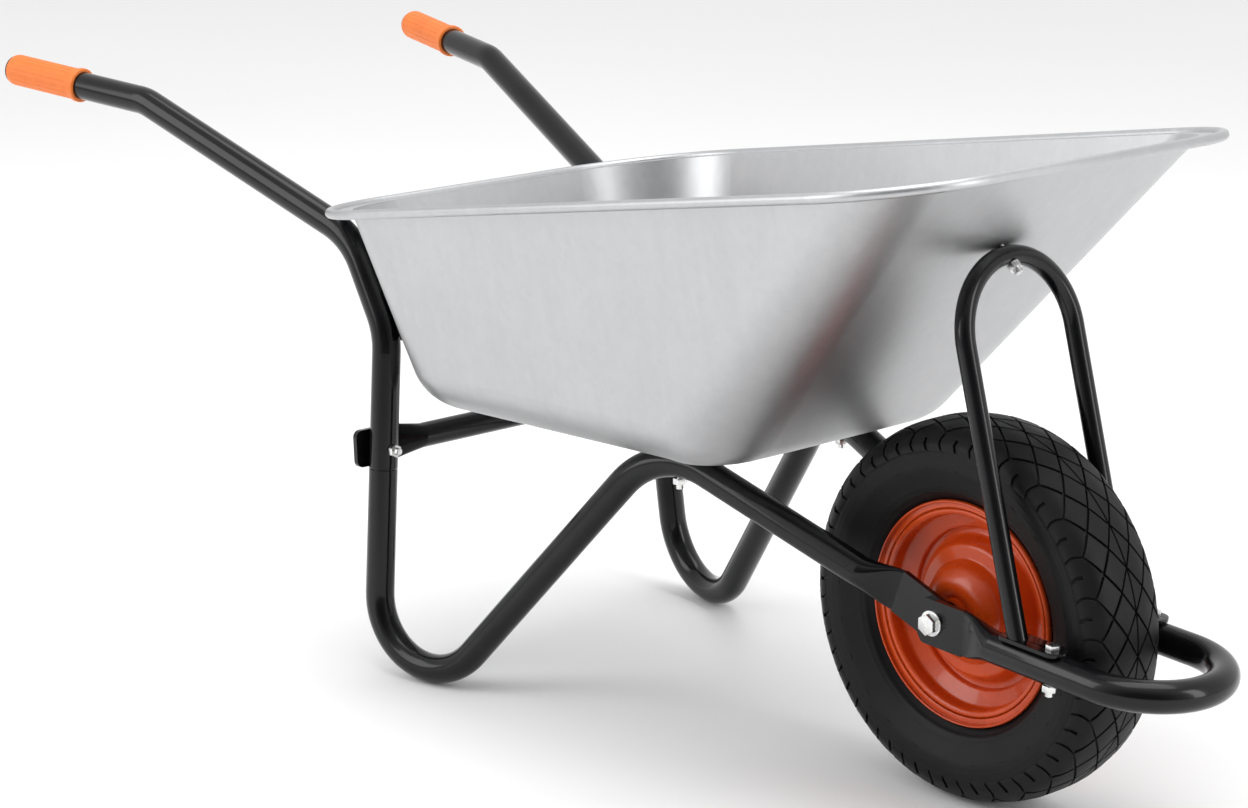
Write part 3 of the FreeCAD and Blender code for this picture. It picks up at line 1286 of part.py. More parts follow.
for side_name, side in SIDES.items():
    centre = along_axle(side, (size("hub_length") - size("bearing_width")) / 2)
    node(f"bearing_outer_ring_{side_name}",
         bearing_ring(f"bearing_outer_ring_{side_name}", size("bearing_outer") / 2, 1, centre))
    node(f"bearing_inner_ring_{side_name}",
         bearing_ring(f"bearing_inner_ring_{side_name}", size("bearing_bore") / 2, -1, centre))
    balls, pockets = [], []
    for index in range(int(size("ball_count"))):
        angle = 2 * math.pi * (index + 0.5) / size("ball_count")
        local = Vector(pitch_radius * math.cos(angle), pitch_radius * math.sin(angle), 0)
        spot = centre.multVec(local)
        ball = make("Part::Sphere", f"ball_{side_name}_{index}", Radius="ball_diameter / 2")
        ball.Placement.Base = spot
        outward = centre.Rotation.multVec(local).normalize()
        pocket = cylinder(f"pocket_{side_name}_{index}", "ball_diameter / 2 + fit_clearance",
                          "2 * cage_wall", aim(spot - outward * size("cage_wall"), outward))
        balls.append(ball)
        pockets.append(pocket)
    node(f"bearing_balls_{side_name}", group(f"bearing_balls_{side_name}", balls))
    ribbon_end = Placement(centre.multVec(Vector(0, 0, -ball_radius - size("cage_rim"))),
                           centre.Rotation)
    ribbon = cylinder(f"cage_outer_{side_name}", f"{pitch_radius} + cage_wall / 2",
                      "ball_diameter + 2 * cage_rim", ribbon_end)
    ribbon_bore = cylinder(f"cage_inner_{side_name}", f"{pitch_radius} - cage_wall / 2",
                           "ball_diameter + 2 * cage_rim", ribbon_end)
    node(f"bearing_cage_{side_name}",
         cut(f"bearing_cage_{side_name}", ribbon, ribbon_bore,
             group(f"pockets_{side_name}", pockets)))
    shields = []
    for face in (-1, 1):
        offset = face * (size("bearing_width") / 2 - size("shield_thickness")) \
            - size("shield_thickness") / 2
        spot = Placement(centre.multVec(Vector(0, 0, offset)), centre.Rotation)
        shields.append(ring_body(f"shield_{side_name}_{face + 1}",
                                 f"{pitch_radius} + ring_shoulder",
                                 f"{pitch_radius} - ring_shoulder + bearing_shoulder_gap",
                                 "shield_thickness", spot))
    node(f"bearing_shields_{side_name}", group(f"bearing_shields_{side_name}", shields))

# ---------------------------------------------------------------- check and write

doc.recompute()
broken = [thing.Name for thing in doc.Objects
          if {"Invalid", "Error"} & set(thing.State)]
if broken:
    raise RuntimeError(f"objects that failed: {broken}")
for name, thing in NODES.items():
    if thing.Shape.isNull() or not thing.Shape.isValid() or not thing.Shape.Solids:
        raise RuntimeError(f"{name} has no valid solid")
if len(NODES) > 60 or len({thing.Label for thing in NODES.values()}) != len(NODES):
    raise RuntimeError("too many nodes, or two with one name")

os.makedirs("parts", exist_ok=True)
for name, thing in NODES.items():
    thing.Shape.exportStep(f"parts/{name}.step")
    print(f"{name}: {len(thing.Shape.Solids)} solids, {thing.Shape.Volume / 1000:.1f} cm3")
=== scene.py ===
"""Looks of a builder's wheelbarrow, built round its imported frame. Lengths are in metres."""

import json
import math

import bmesh
import bpy
from mathutils import Matrix, Vector


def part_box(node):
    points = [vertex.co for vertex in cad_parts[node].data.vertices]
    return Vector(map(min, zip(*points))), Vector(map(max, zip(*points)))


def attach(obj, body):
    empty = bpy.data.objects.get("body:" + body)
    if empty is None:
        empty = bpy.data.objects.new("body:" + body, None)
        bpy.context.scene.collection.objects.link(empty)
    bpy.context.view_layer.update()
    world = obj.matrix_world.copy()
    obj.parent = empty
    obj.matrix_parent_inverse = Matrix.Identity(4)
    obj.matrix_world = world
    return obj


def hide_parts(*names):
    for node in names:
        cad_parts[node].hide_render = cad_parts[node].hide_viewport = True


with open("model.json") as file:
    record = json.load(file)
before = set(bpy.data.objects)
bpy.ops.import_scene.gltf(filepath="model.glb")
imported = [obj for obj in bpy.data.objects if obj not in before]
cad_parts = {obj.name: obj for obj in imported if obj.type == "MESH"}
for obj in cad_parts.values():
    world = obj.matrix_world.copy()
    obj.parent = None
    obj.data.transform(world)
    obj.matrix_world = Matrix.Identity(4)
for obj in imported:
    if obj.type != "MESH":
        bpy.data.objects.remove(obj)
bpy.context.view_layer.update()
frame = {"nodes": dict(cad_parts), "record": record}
MM = 0.001
SIDES = {"right": -1, "left": 1}
ACROSS = Vector((0, 1, 0))
SAME_POINT = 0.002 * MM


# ---------------------------------------------------------------- finishes

class Wire:
    """A value or link in shader maths. Operators add Math nodes to the finish."""

    def __init__(self, finish, socket):
        self.finish = finish
        self.socket = socket

    def maths(self, operation, *terms):
        node = self.finish.tree.nodes.new("ShaderNodeMath")
        node.operation = operation
        for socket, term in zip(node.inputs, terms):
            self.finish.feed(socket, term)
        return Wire(self.finish, node.outputs[0])

    def __add__(self, other):
        return self.maths("ADD", self, other)

    def __mul__(self, other):
        return self.maths("MULTIPLY", self, other)

    __radd__ = __add__
    __rmul__ = __mul__

    def smooth(self, low, high):
        """0 below low, 1 above high, eased between."""
        return self.finish.add("ShaderNodeMapRange", {"interpolation_type": "SMOOTHSTEP"},
                               {"Value": self, "From Min": low, "From Max": high})


class Finish:
    """A material under construction, with one method for any node."""

    def __init__(self, name, **constants):
        self.material = bpy.data.materials.new(name)
        self.material.use_nodes = True
        self.tree = self.material.node_tree
        self.surface = self.tree.nodes["Principled BSDF"]
        for socket, value in constants.items():
            self.surface.inputs[socket.replace("_", " ")].default_value = value
        self.place = self.add("ShaderNodeTexCoord", out="Object")

    def feed(self, socket, value):
        if isinstance(value, Wire):
            self.tree.links.new(value.socket, socket)
        else:
            socket.default_value = value

    def add(self, kind, settings=None, values=None, out=0):
        node = self.tree.nodes.new(kind)
        for name, value in (settings or {}).items():
            if name == "stops":
                self.fill_ramp(node.color_ramp, value)
            else:
                setattr(node, name, value)
        for name, value in (values or {}).items():
            self.feed(node.inputs[name], value)
        return Wire(self, node.outputs[out])

    def fill_ramp(self, ramp, stops):
        while len(ramp.elements) < len(stops):
            ramp.elements.new(1.0)
        for element, (position, colour) in zip(ramp.elements, stops):
            element.position = position
            element.color = colour

    def noise(self, scale, detail=3.0, roughness=0.5, stretch=(1, 1, 1)):
        spot = self.add("ShaderNodeMapping", {"vector_type": "POINT"},
                        {"Vector": self.place, "Scale": stretch})
        return self.add("ShaderNodeTexNoise", None,
                        {"Vector": spot, "Scale": scale, "Detail": detail,
                         "Roughness": roughness})

    def ramp(self, value, *stops):
        return self.add("ShaderNodeValToRGB", {"stops": stops}, {"Fac": value})

    def blend(self, factor, first, second):
        """Mix of two colours; the Mix node's colour sockets are 6, 7 and output 2."""
        return self.add("ShaderNodeMix", {"data_type": "RGBA"},
                        {0: factor, 6: first, 7: second}, out=2)

    def bump(self, height, distance, under=None):
        values = {"Height": height, "Distance": distance, "Strength": 1.0}
        if under:
            values["Normal"] = under
        return self.add("ShaderNodeBump", None, values)

    def paint(self, **links):
        for socket, value in links.items():
            self.feed(self.surface.inputs[socket.replace("_", " ")], value)
        return self.material


def grey(value, tint=(1, 1, 1)):
    return tuple(value * part for part in tint) + (1.0,)


def galvanised_sheet():
    """Bright zinc-coated sheet: cloudy gloss, faint crystals and fine drawing lines."""
    made = Finish("galvanised_sheet", Metallic=1.0)
    cloud = made.noise(3.2, 4.0, 0.5)
    crystal = made.add("ShaderNodeTexVoronoi", {"feature": "F1"},
                       {"Vector": made.place, "Scale": 130.0, "Randomness": 1.0}, out="Color")
    patch = made.add("ShaderNodeSeparateColor", None, {"Color": crystal})
    drawn = made.noise(70.0, 3.0, 0.6, (1.0, 1.0, 0.06))
    grain = made.noise(1100.0, 2.0)
    tone = cloud * 0.62 + patch * 0.10 + drawn * 0.28
    colour = made.ramp(tone, (0.25, grey(0.44, (0.99, 1.0, 1.02))),
                       (0.75, grey(0.53, (0.992, 1.0, 1.012))))
    rough = 0.36 + cloud * 0.08 + patch * 0.015 + grain * 0.03
    relief = made.bump(grain * 0.30 + drawn * 0.35 + patch * 0.06, 0.00004)
    return made.paint(Base_Color=colour, Roughness=rough, Normal=relief)


def black_powder_coat():
    """Gloss black powder coat: orange peel, faint dust and dulled patches."""
    made = Finish("black_powder_coat", IOR=1.3, Coat_Roughness=0.05, Coat_IOR=1.4)
    peel = made.noise(420.0, 2.0, 0.5)
    cloud = made.noise(14.0, 4.0, 0.6)
    dust = made.noise(2600.0, 1.0).smooth(0.72, 0.82)
    colour = made.blend(dust * 0.2, made.ramp(cloud, (0.3, grey(0.0025, (0.95, 0.98, 1.15))),
                                              (0.7, grey(0.0045, (0.95, 0.98, 1.18)))),
                        grey(0.05))
    rough = 0.16 + cloud * 0.08 + dust * 0.15
    return made.paint(Base_Color=colour, Roughness=rough, Coat_Weight=0.22 + cloud * 0.16,
                      Normal=made.bump(peel, 0.00006))


def orange_enamel():
    """Gloss orange-red enamel on the pressed wheel, cloudy in tone with dark specks."""
    made = Finish("orange_enamel", IOR=1.36, Coat_Roughness=0.05)
    cloud = made.noise(22.0, 4.0, 0.55)
    peel = made.noise(260.0, 2.0)
    speck = made.noise(1800.0, 1.0).smooth(0.72, 0.8)
    colour = made.blend(speck * 0.35, made.ramp(cloud, (0.3, (0.50, 0.048, 0.004, 1)),
                                                (0.7, (0.60, 0.066, 0.006, 1))),
                        (0.30, 0.03, 0.01, 1))
    return made.paint(Base_Color=colour, Roughness=0.22 + cloud * 0.12 + speck * 0.1,
                      Coat_Weight=0.22 + cloud * 0.2, Normal=made.bump(peel, 0.00012))


def orange_grip_vinyl():
    """Soft orange vinyl: satin, finely pitted, a little grubby where a hand rubs."""
    made = Finish("orange_grip_vinyl")
    pits = made.noise(1500.0, 2.0, 0.6)
    rub = made.noise(38.0, 5.0, 0.65)
    colour = made.ramp(rub, (0.28, (0.70, 0.150, 0.016, 1)), (0.72, (0.80, 0.195, 0.026, 1)))
    rough = 0.40 + rub * 0.14 + pits * 0.06
    return made.paint(Base_Color=colour, Roughness=rough, Normal=made.bump(pits, 0.00008))


def tyre_rubber():
    """Satin black rubber with a slight bloom and fine mould texture."""
    made = Finish("tyre_rubber", IOR=1.28)
    bloom = made.noise(16.0, 5.0, 0.6)
    pores = made.noise(1400.0, 2.0, 0.6)
    flow = made.noise(90.0, 3.0, 0.5)
    colour = made.ramp(bloom, (0.3, grey(0.0035, (0.96, 0.97, 1.06))),
                       (0.75, grey(0.0085, (0.97, 0.97, 1.06))))
    rough = 0.36 + bloom * 0.16 + pores * 0.08
    relief = made.bump(pores * 0.5 + flow * 0.9, 0.00012)
    return made.paint(Base_Color=colour, Roughness=rough, Normal=relief)


def zinc_plate():
    """Bright zinc plate on the fasteners, slightly iridescent and handled."""
    made = Finish("zinc_plate", Metallic=1.0)
    cloud = made.noise(170.0, 4.0, 0.6)
    scratch = made.noise(900.0, 3.0, 0.6, (1.0, 0.2, 1.0))
    colour = made.ramp(cloud, (0.3, grey(0.60, (0.98, 1.0, 1.03))),
                       (0.7, grey(0.80, (1.01, 1.0, 0.96))))
    return made.paint(Base_Color=colour, Roughness=0.16 + cloud * 0.14 + scratch * 0.06,
                      Normal=made.bump(scratch, 0.00003))


def bearing_steel():
    """Ground steel with fine turning lines."""
    made = Finish("bearing_steel", Metallic=1.0)
    lines = made.noise(700.0, 2.0, 0.5, (1.0, 6.0, 1.0))
    colour = made.ramp(lines, (0.2, grey(0.52)), (0.8, grey(0.66)))
    return made.paint(Base_Color=colour, Roughness=0.10 + lines * 0.12,
                      Normal=made.bump(lines, 0.00002))


def ball_cage_brass():
    """Plain stamped brass."""
    made = Finish("ball_cage_brass", Metallic=1.0)
    cloud = made.noise(300.0, 3.0)
    colour = made.ramp(cloud, (0.3, (0.56, 0.36, 0.12, 1)), (0.7, (0.72, 0.50, 0.2, 1)))
    return made.paint(Base_Color=colour, Roughness=0.22 + cloud * 0.2)


def butyl_rubber():
    """Smooth dull rubber of the air tube and the valve."""
    made = Finish("butyl_rubber")
    cloud = made.noise(60.0, 4.0)
    colour = made.ramp(cloud, (0.3, grey(0.014)), (0.7, grey(0.024)))
    return made.paint(Base_Color=colour, Roughness=0.5 + cloud * 0.2,
                      Normal=made.bump(cloud, 0.0001))


def moulded_black_plastic():
    """The valve's cap."""
    made = Finish("moulded_black_plastic")
    grain = made.noise(900.0, 2.0)
    colour = made.ramp(grain, (0.3, grey(0.012)), (0.7, grey(0.022)))
    return made.paint(Base_Color=colour, Roughness=0.35 + grain * 0.15,
                      Normal=made.bump(grain, 0.00004))


FINISHES = {
    "galvanised_steel": galvanised_sheet(),
    "black_powder_coat": black_powder_coat(),
    "orange_grip": orange_grip_vinyl(),
    "zinc_fasteners": zinc_plate(),
    "bearing_steel": bearing_steel(),
    "brass_cage": ball_cage_brass(),
    "tyre_rubber": tyre_rubber(),
    "tube_rubber": butyl_rubber(),
    "orange_enamel": orange_enamel(),
    "black_plastic": moulded_black_plastic(),
}
SLOT_OF = {part["node"]: part["material_slot"] for part in frame["record"]["subparts"]}
BODY_OF = {node: body for body, nodes in frame["record"]["behaviour"]["bodies"].items()
           for node in nodes}


# ---------------------------------------------------------------- mesh helpers

def new_piece(name, mesh, slot, body, *nodes):
    """Show a mesh as a piece of the barrow, in place of the named CAD nodes."""
    piece = bpy.data.objects.new(name, mesh)
    bpy.context.collection.objects.link(piece)
    mesh.materials.clear()
    mesh.materials.append(FINISHES[slot])
    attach(piece, body)
    if nodes:
        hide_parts(*nodes)
    return piece


def from_bmesh(name, shape, smooth=True):
    mesh = bpy.data.meshes.new(name)
    shape.to_mesh(mesh)
    shape.free()
    mesh.polygons.foreach_set("use_smooth", [smooth] * len(mesh.polygons))
    return mesh


def arc_points(before, corner, after, radius, steps):
    """Points of the round that replaces one corner of an outline."""
    back = (before - corner).normalized()
    ahead = (after - corner).normalized()
    half = back.angle(ahead) / 2
    reach = min(radius / math.tan(half), (before - corner).length * 0.49,
                (after - corner).length * 0.49)
    radius = reach * math.tan(half)
    centre = corner + (back + ahead).normalized() * (radius / math.sin(half))
    start = corner + back * reach - centre
    finish = corner + ahead * reach - centre
    turn = start.angle(finish)
    if turn < 1e-4:
        return [corner]
    points = []
    for step in range(steps + 1):
        share = step / steps
        points.append(centre + (start * math.sin((1 - share) * turn)
                                + finish * math.sin(share * turn)) / math.sin(turn))
    return points


def rounded(corners, radii, steps=6, closed=True):
    """An outline with each corner rounded to its radius; 0 keeps a corner sharp."""
    corners = [Vector(corner) for corner in corners]
    count = len(corners)
    points = []
    for index, (corner, radius) in enumerate(zip(corners, radii)):
        if radius <= 0 or (not closed and index in (0, count - 1)):
            points.append(corner)
            continue
        points += arc_points(corners[index - 1], corner, corners[(index + 1) % count],
                             radius, steps)
    return points


def lathe(name, outline, centre, sections, closed=True):
    """Turn an outline of (radius, offset) points about the line across the barrow."""
    shape = bmesh.new()
    rings = []
    for section in range(sections):
        angle = 2 * math.pi * section / sections
        rings.append([shape.verts.new((centre.x + point[0] * math.sin(angle),
                                       centre.y + point[1],
                                       centre.z + point[0] * math.cos(angle)))
                      for point in outline])
    last = len(outline) if closed else len(outline) - 1
    for section in range(sections):
        here, there = rings[section], rings[(section + 1) % sections]
        for index in range(last):
            after = (index + 1) % len(outline)
            shape.faces.new((here[index], here[after], there[after], there[index]))
    bmesh.ops.recalc_face_normals(shape, faces=shape.faces)
    return from_bmesh(name, shape)


def softened(node, width, segments=2, flat_angle=2.0, edge_angle=28.0):
    """A copy of a CAD node whose sharp edges are broken by a small round."""
    source = frame["nodes"][node]
    shape = bmesh.new()
    shape.from_mesh(source.data)
    bmesh.ops.remove_doubles(shape, verts=shape.verts, dist=SAME_POINT)
    bmesh.ops.dissolve_limit(shape, angle_limit=math.radians(flat_angle),
                             verts=shape.verts, edges=shape.edges)
    sharp = [edge for edge in shape.edges if len(edge.link_faces) == 2
             and edge.calc_face_angle(0.0) > math.radians(edge_angle)]
    bmesh.ops.bevel(shape, geom=sharp, offset=width, segments=segments, profile=0.6,
                    affect="EDGES", clamp_overlap=True)
    mesh = from_bmesh(f"{node}_shown", shape)
    shade_by_angle(mesh, 35.0)
    return new_piece(f"{node}_shown", mesh, SLOT_OF[node], BODY_OF[node], node)


def shade_by_angle(mesh, limit):
    """Smooth shading, broken at edges sharper than the limit."""
    shape = bmesh.new()
    shape.from_mesh(mesh)
    for edge in shape.edges:
        sharp = len(edge.link_faces) == 2 and \
            edge.calc_face_angle(0.0) > math.radians(limit)
        edge.smooth = not sharp
    shape.to_mesh(mesh)
    shape.free()
    mesh.polygons.foreach_set("use_smooth", [True] * len(mesh.polygons))


# ---------------------------------------------------------------- repeating trees

def new_tree(name, inputs):
    """A geometry tree with named inputs; gives the tree and each input's identifier."""
    tree = bpy.data.node_groups.new(name, "GeometryNodeTree")
    tree.interface.new_socket("Geometry", in_out="OUTPUT", socket_type="NodeSocketGeometry")
    tree.interface.new_socket("Geometry", in_out="INPUT", socket_type="NodeSocketGeometry")
    keys = {}
    for label, kind in inputs:
        socket = tree.interface.new_socket(label, in_out="INPUT", socket_type=kind)
        keys[label] = socket.identifier
    return tree, keys


def add_node(tree, kind, links=None, **settings):
    """Any node of a geometry tree: its settings, then its sockets' values or links."""
    node = tree.nodes.new(kind)
    for name, value in settings.items():
        setattr(node, name, value)
    for name, value in (links or {}).items():
        socket = node.inputs[name]
        if isinstance(value, bpy.types.NodeSocket):
            tree.links.new(value, socket)
        else:
            socket.default_value = value
    return node


def finish_tree(tree, instances, material):
    """End of a tree: real copies with their material."""
    solid = add_node(tree, "GeometryNodeRealizeInstances", {"Geometry": instances})
    painted = add_node(tree, "GeometryNodeSetMaterial",
                       {"Geometry": solid.outputs[0], "Material": material})
    add_node(tree, "NodeGroupOutput", {"Geometry": painted.outputs[0]})


def ring_tree():
    """Copies of a shape turned about a line across the barrow."""
    tree, keys = new_tree("ring_of_copies", [
        ("Shape", "NodeSocketObject"), ("Count", "NodeSocketInt"),
        ("Centre", "NodeSocketVector"), ("Finish", "NodeSocketMaterial")])
    given = add_node(tree, "NodeGroupInput").outputs
    line = add_node(tree, "GeometryNodeMeshLine",
                    {"Count": given["Count"], "Start Location": given["Centre"],
                     "Offset": (0, 0, 0)}, mode="OFFSET")
    index = add_node(tree, "GeometryNodeInputIndex")
    step = add_node(tree, "ShaderNodeMath", operation="DIVIDE")
    step.inputs[0].default_value = 2 * math.pi
    tree.links.new(given["Count"], step.inputs[1])
    angle = add_node(tree, "ShaderNodeMath", operation="MULTIPLY")
    tree.links.new(index.outputs[0], angle.inputs[0])
    tree.links.new(step.outputs[0], angle.inputs[1])
    turn = add_node(tree, "ShaderNodeCombineXYZ", {"Y": angle.outputs[0]})
    shape = add_node(tree, "GeometryNodeObjectInfo", {"Object": given["Shape"]})
    copies = add_node(tree, "GeometryNodeInstanceOnPoints",
                      {"Points": line.outputs[0], "Instance": shape.outputs["Geometry"],
                       "Rotation": turn.outputs[0]})
    finish_tree(tree, copies.outputs[0], given["Finish"])
    return tree, keys


def run_tree(name, made, values):
    """Evaluate a tree once and keep its result as a plain mesh."""
    tree, keys = made
    carrier = bpy.data.objects.new(f"{name}_carrier", bpy.data.meshes.new(f"{name}_carrier"))
    bpy.context.collection.objects.link(carrier)
    modifier = carrier.modifiers.new("copies", "NODES")
    modifier.node_group = tree
    for label, value in values.items():
        modifier[keys[label]] = value
    carrier.data.update()
    graph = bpy.context.evaluated_depsgraph_get()
    mesh = bpy.data.meshes.new_from_object(carrier.evaluated_get(graph), depsgraph=graph)
    mesh.name = name
    bpy.data.objects.remove(carrier)
    return mesh


def pattern_object(name, mesh):
    """A shape that only a repeating tree reads; it is removed afterwards."""
    pattern = bpy.data.objects.new(name, mesh)
    bpy.context.collection.objects.link(pattern)
    return pattern


def ring_of(name, mesh, count, centre, material):
    """A ring of copies of a mesh, as one plain mesh."""
    pattern = pattern_object(f"{name}_pattern", mesh)
    made = run_tree(name, RING, {"Shape": pattern, "Count": count, "Centre": centre,
                                 "Finish": material})
    bpy.data.objects.remove(pattern)
    return made


RING = ring_tree()


def joined(name, meshes):
    """Several meshes as one."""
    shape = bmesh.new()
    for mesh in meshes:
        shape.from_mesh(mesh)
    return from_bmesh(name, shape)


# ---------------------------------------------------------------- tyre

tyre_low, tyre_high = (Vector(corner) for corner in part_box("tyre"))
axle = (tyre_low + tyre_high) / 2
tyre_radius = (tyre_high.z - tyre_low.z) / 2
tyre_half = (tyre_high.y - tyre_low.y) / 2
flange_radius = (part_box("wheel_disc_right")[1][2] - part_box("wheel_disc_right")[0][2]) / 2
BEAD_FACE = 29.9 * MM
BEAD_FOOT = 101.8 * MM
BEAD_THICK = 14 * MM
CROWN_FLAT = 16 * MM
TREAD_DEPTH = 2.8 * MM
PITCHES = 28
DIAMOND_WIDTH = 30 * MM
LUG_END = 68 * MM
PITCH = 2 * math.pi * tyre_radius / PITCHES


def tyre_side():
    """Outside of one half of the tyre, from the crown's middle to the bead."""
    corners = [(tyre_radius, 0), (tyre_radius, CROWN_FLAT),
               (tyre_radius - 6 * MM, tyre_half - 12 * MM), (tyre_radius - 22 * MM, tyre_half),
               (tyre_radius - 44 * MM, tyre_half),
               (flange_radius + 11 * MM, BEAD_FACE + 12 * MM),
               (flange_radius - 1 * MM, BEAD_FACE), (BEAD_FOOT, BEAD_FACE)]
    radii = [0, 40 * MM, 14 * MM, 14 * MM, 24 * MM, 20 * MM, 3.2 * MM, 0]
    return rounded(corners, radii, steps=8, closed=False)


SIDE = tyre_side()
RUN = [0.0]
for first, second in zip(SIDE, SIDE[1:]):
    RUN.append(RUN[-1] + (second - first).length)


def on_side(distance):
    """Point and outward normal of the tyre's outline at a distance from the crown."""
    reach = min(abs(distance), RUN[-1] - 1e-6)
    index = max(i for i, run in enumerate(RUN[:-1]) if run <= reach)
    share = (reach - RUN[index]) / max(RUN[index + 1] - RUN[index], 1e-9)
    point = SIDE[index].lerp(SIDE[index + 1], share)
    tangent = (SIDE[index + 1] - SIDE[index]).normalized()
    after = SIDE[min(index + 2, len(SIDE) - 1)] - SIDE[index + 1]
    if after.length > 1e-9:
        tangent = tangent.lerp(after.normalized(), share).normalized()
    normal = Vector((tangent.y, -tangent.x))
    if distance < 0:
        return Vector((point.x, -point.y)), Vector((normal.x, -normal.y))
    return point, normal


def on_tyre(along, across, lift):
    """Point of the tyre from a distance along the crown, one across it, and a lift."""
    point, normal = on_side(across)
    place = point + normal * lift
    angle = 2 * math.pi * along / (PITCH * PITCHES)
    return Vector((place.x * math.sin(angle), place.y, place.x * math.cos(angle)))


def sink(distance):
    """How far the carcass lies under the tread, fading out below the shoulder lugs."""
    share = min(max((LUG_END - abs(distance)) / (6 * MM), 0), 1)
    return -TREAD_DEPTH * share * share * (3 - 2 * share)


def side_moulding(radius):
    """Raised rings of the side wall: one at the rim, one below the shoulder."""
    height = 0
    for place, width, rise in ((flange_radius + 9 * MM, 1.6 * MM, 0.7 * MM),
                               (flange_radius + 14 * MM, 1.0 * MM, 0.35 * MM),
                               (tyre_radius - 36 * MM, 1.2 * MM, 0.45 * MM)):
        height += rise * math.exp(-((radius - place) / width) ** 2)
    return height


def carcass_outline():
    """Closed section of the carcass: its moulded outside, then its inside."""
    outer = []
    steps = 170
    for step in range(steps + 1):
        distance = RUN[-1] * (1 - 2 * step / steps)
        point, normal = on_side(distance)
        outer.append(point + normal * (sink(distance) + side_moulding(point.x)))
    half = tyre_half - 8 * MM
    inner = rounded([(BEAD_FOOT, -BEAD_FACE + BEAD_THICK),
                     (flange_radius, -BEAD_FACE + BEAD_THICK),
                     (flange_radius + 12 * MM, -half + 10 * MM), (tyre_radius - 44 * MM, -half),
                     (tyre_radius - 24 * MM, -half), (tyre_radius - 13 * MM, 0),
                     (tyre_radius - 24 * MM, half), (tyre_radius - 44 * MM, half),
                     (flange_radius + 12 * MM, half - 10 * MM),
                     (flange_radius, BEAD_FACE - BEAD_THICK),
                     (BEAD_FOOT, BEAD_FACE - BEAD_THICK)],
                    [0, 4 * MM, 12 * MM, 10 * MM, 10 * MM, 60 * MM, 10 * MM, 10 * MM,
                     12 * MM, 4 * MM, 0], steps=4, closed=False)
    return outer + inner


def tread_polygons():
    """One pitch of the tread, as faces in pitches along and metres across."""
    wide = DIAMOND_WIDTH
    rows = [([(0.0, 0.0), (0.5, wide / 2), (1.0, 0.0)], 0.75 * MM),
            ([(-0.5, wide / 2), (0.0, 0.0), (0.5, wide / 2), (0.0, wide)], 1.15 * MM),
            ([(0.0, wide), (0.5, wide / 2), (1.0, wide), (0.5, wide * 1.5)], 1.15 * MM)]
    blocks = [([corners], gap) for corners, gap in rows]
    root, slot = wide * 1.75, 0.012
    tip, left, right = (0.0, wide), (-0.5, wide * 1.5), (0.5, wide * 1.5)
    low_left, low_right = (-slot, root), (slot, root)
    far_left, far_right = (-0.5, root), (0.5, root)
    shoulder = [[left, tip, low_left, far_left], [tip, right, far_right, low_right],
                [tip, low_right, low_left],
                [far_left, low_left, (-slot, LUG_END), (-0.5, LUG_END)],
                [low_right, far_right, (0.5, LUG_END), (slot, LUG_END)]]
    blocks.append((shoulder, 1.35 * MM))
    return blocks


def bend_of(across):
    """The lugs' grooves turn back as they run down the shoulder."""
    start, turn = DIAMOND_WIDTH * 1.5, DIAMOND_WIDTH * 1.85
    reach = abs(across)
    if reach < start:
        return 0.0
    if reach < turn:
        return -0.10 * (reach - start) / (turn - start)
    return -0.10 + 0.14 * (reach - turn) / (LUG_END - turn)


def inset(shape, width):
    """Draw a strip in from the border of a shape, and give the strip's faces."""
    return bmesh.ops.inset_region(shape, faces=shape.faces, thickness=width,
                                  use_even_offset=True, use_boundary=True)["faces"]


def tread_block(faces, gap, side):
    """A raised block: its top, a broken edge and walls down into the grooves."""
    shape = bmesh.new()
    corners = {}
    for face in faces:
        loop = []
        for along, across in face:
            key = (round(along, 4), round(across, 6))
            if key not in corners:
                corners[key] = shape.verts.new((along * PITCH, across * side, 0))
            loop.append(corners[key])
        shape.faces.new(loop if side > 0 else loop[::-1])
    bmesh.ops.subdivide_edges(shape, edges=shape.edges, cuts=2, use_grid_fill=True)
    shape.normal_update()
    groove = inset(shape, gap)
    bmesh.ops.delete(shape, geom=groove, context="FACES")
    inset(shape, 0.5 * MM)
    edge_verts = {v for e in shape.edges if e.is_boundary for v in e.verts}
    for vertex in edge_verts:
        vertex.co.z -= 0.35 * MM
    rim = [edge for edge in shape.edges if edge.is_boundary]
    walls = bmesh.ops.extrude_edge_only(shape, edges=rim)["geom"]
    for vertex in (item for item in walls if isinstance(item, bmesh.types.BMVert)):
        vertex.co.z = -TREAD_DEPTH - 0.5 * MM
    loose = [vertex for vertex in shape.verts if not vertex.link_faces]
    bmesh.ops.delete(shape, geom=loose, context="VERTS")
    for vertex in shape.verts:
        along, across, lift = vertex.co
        fade = min(max((LUG_END + 1 * MM - abs(across)) / (11 * MM), 0.0), 1.0)
        lift -= TREAD_DEPTH * 0.6 * (1 - fade) ** 2 if lift > -TREAD_DEPTH * 0.6 else 0
        vertex.co = on_tyre(along + bend_of(across) * PITCH, across, lift)
    bmesh.ops.recalc_face_normals(shape, faces=shape.faces)
    return from_bmesh("tread_block", shape)


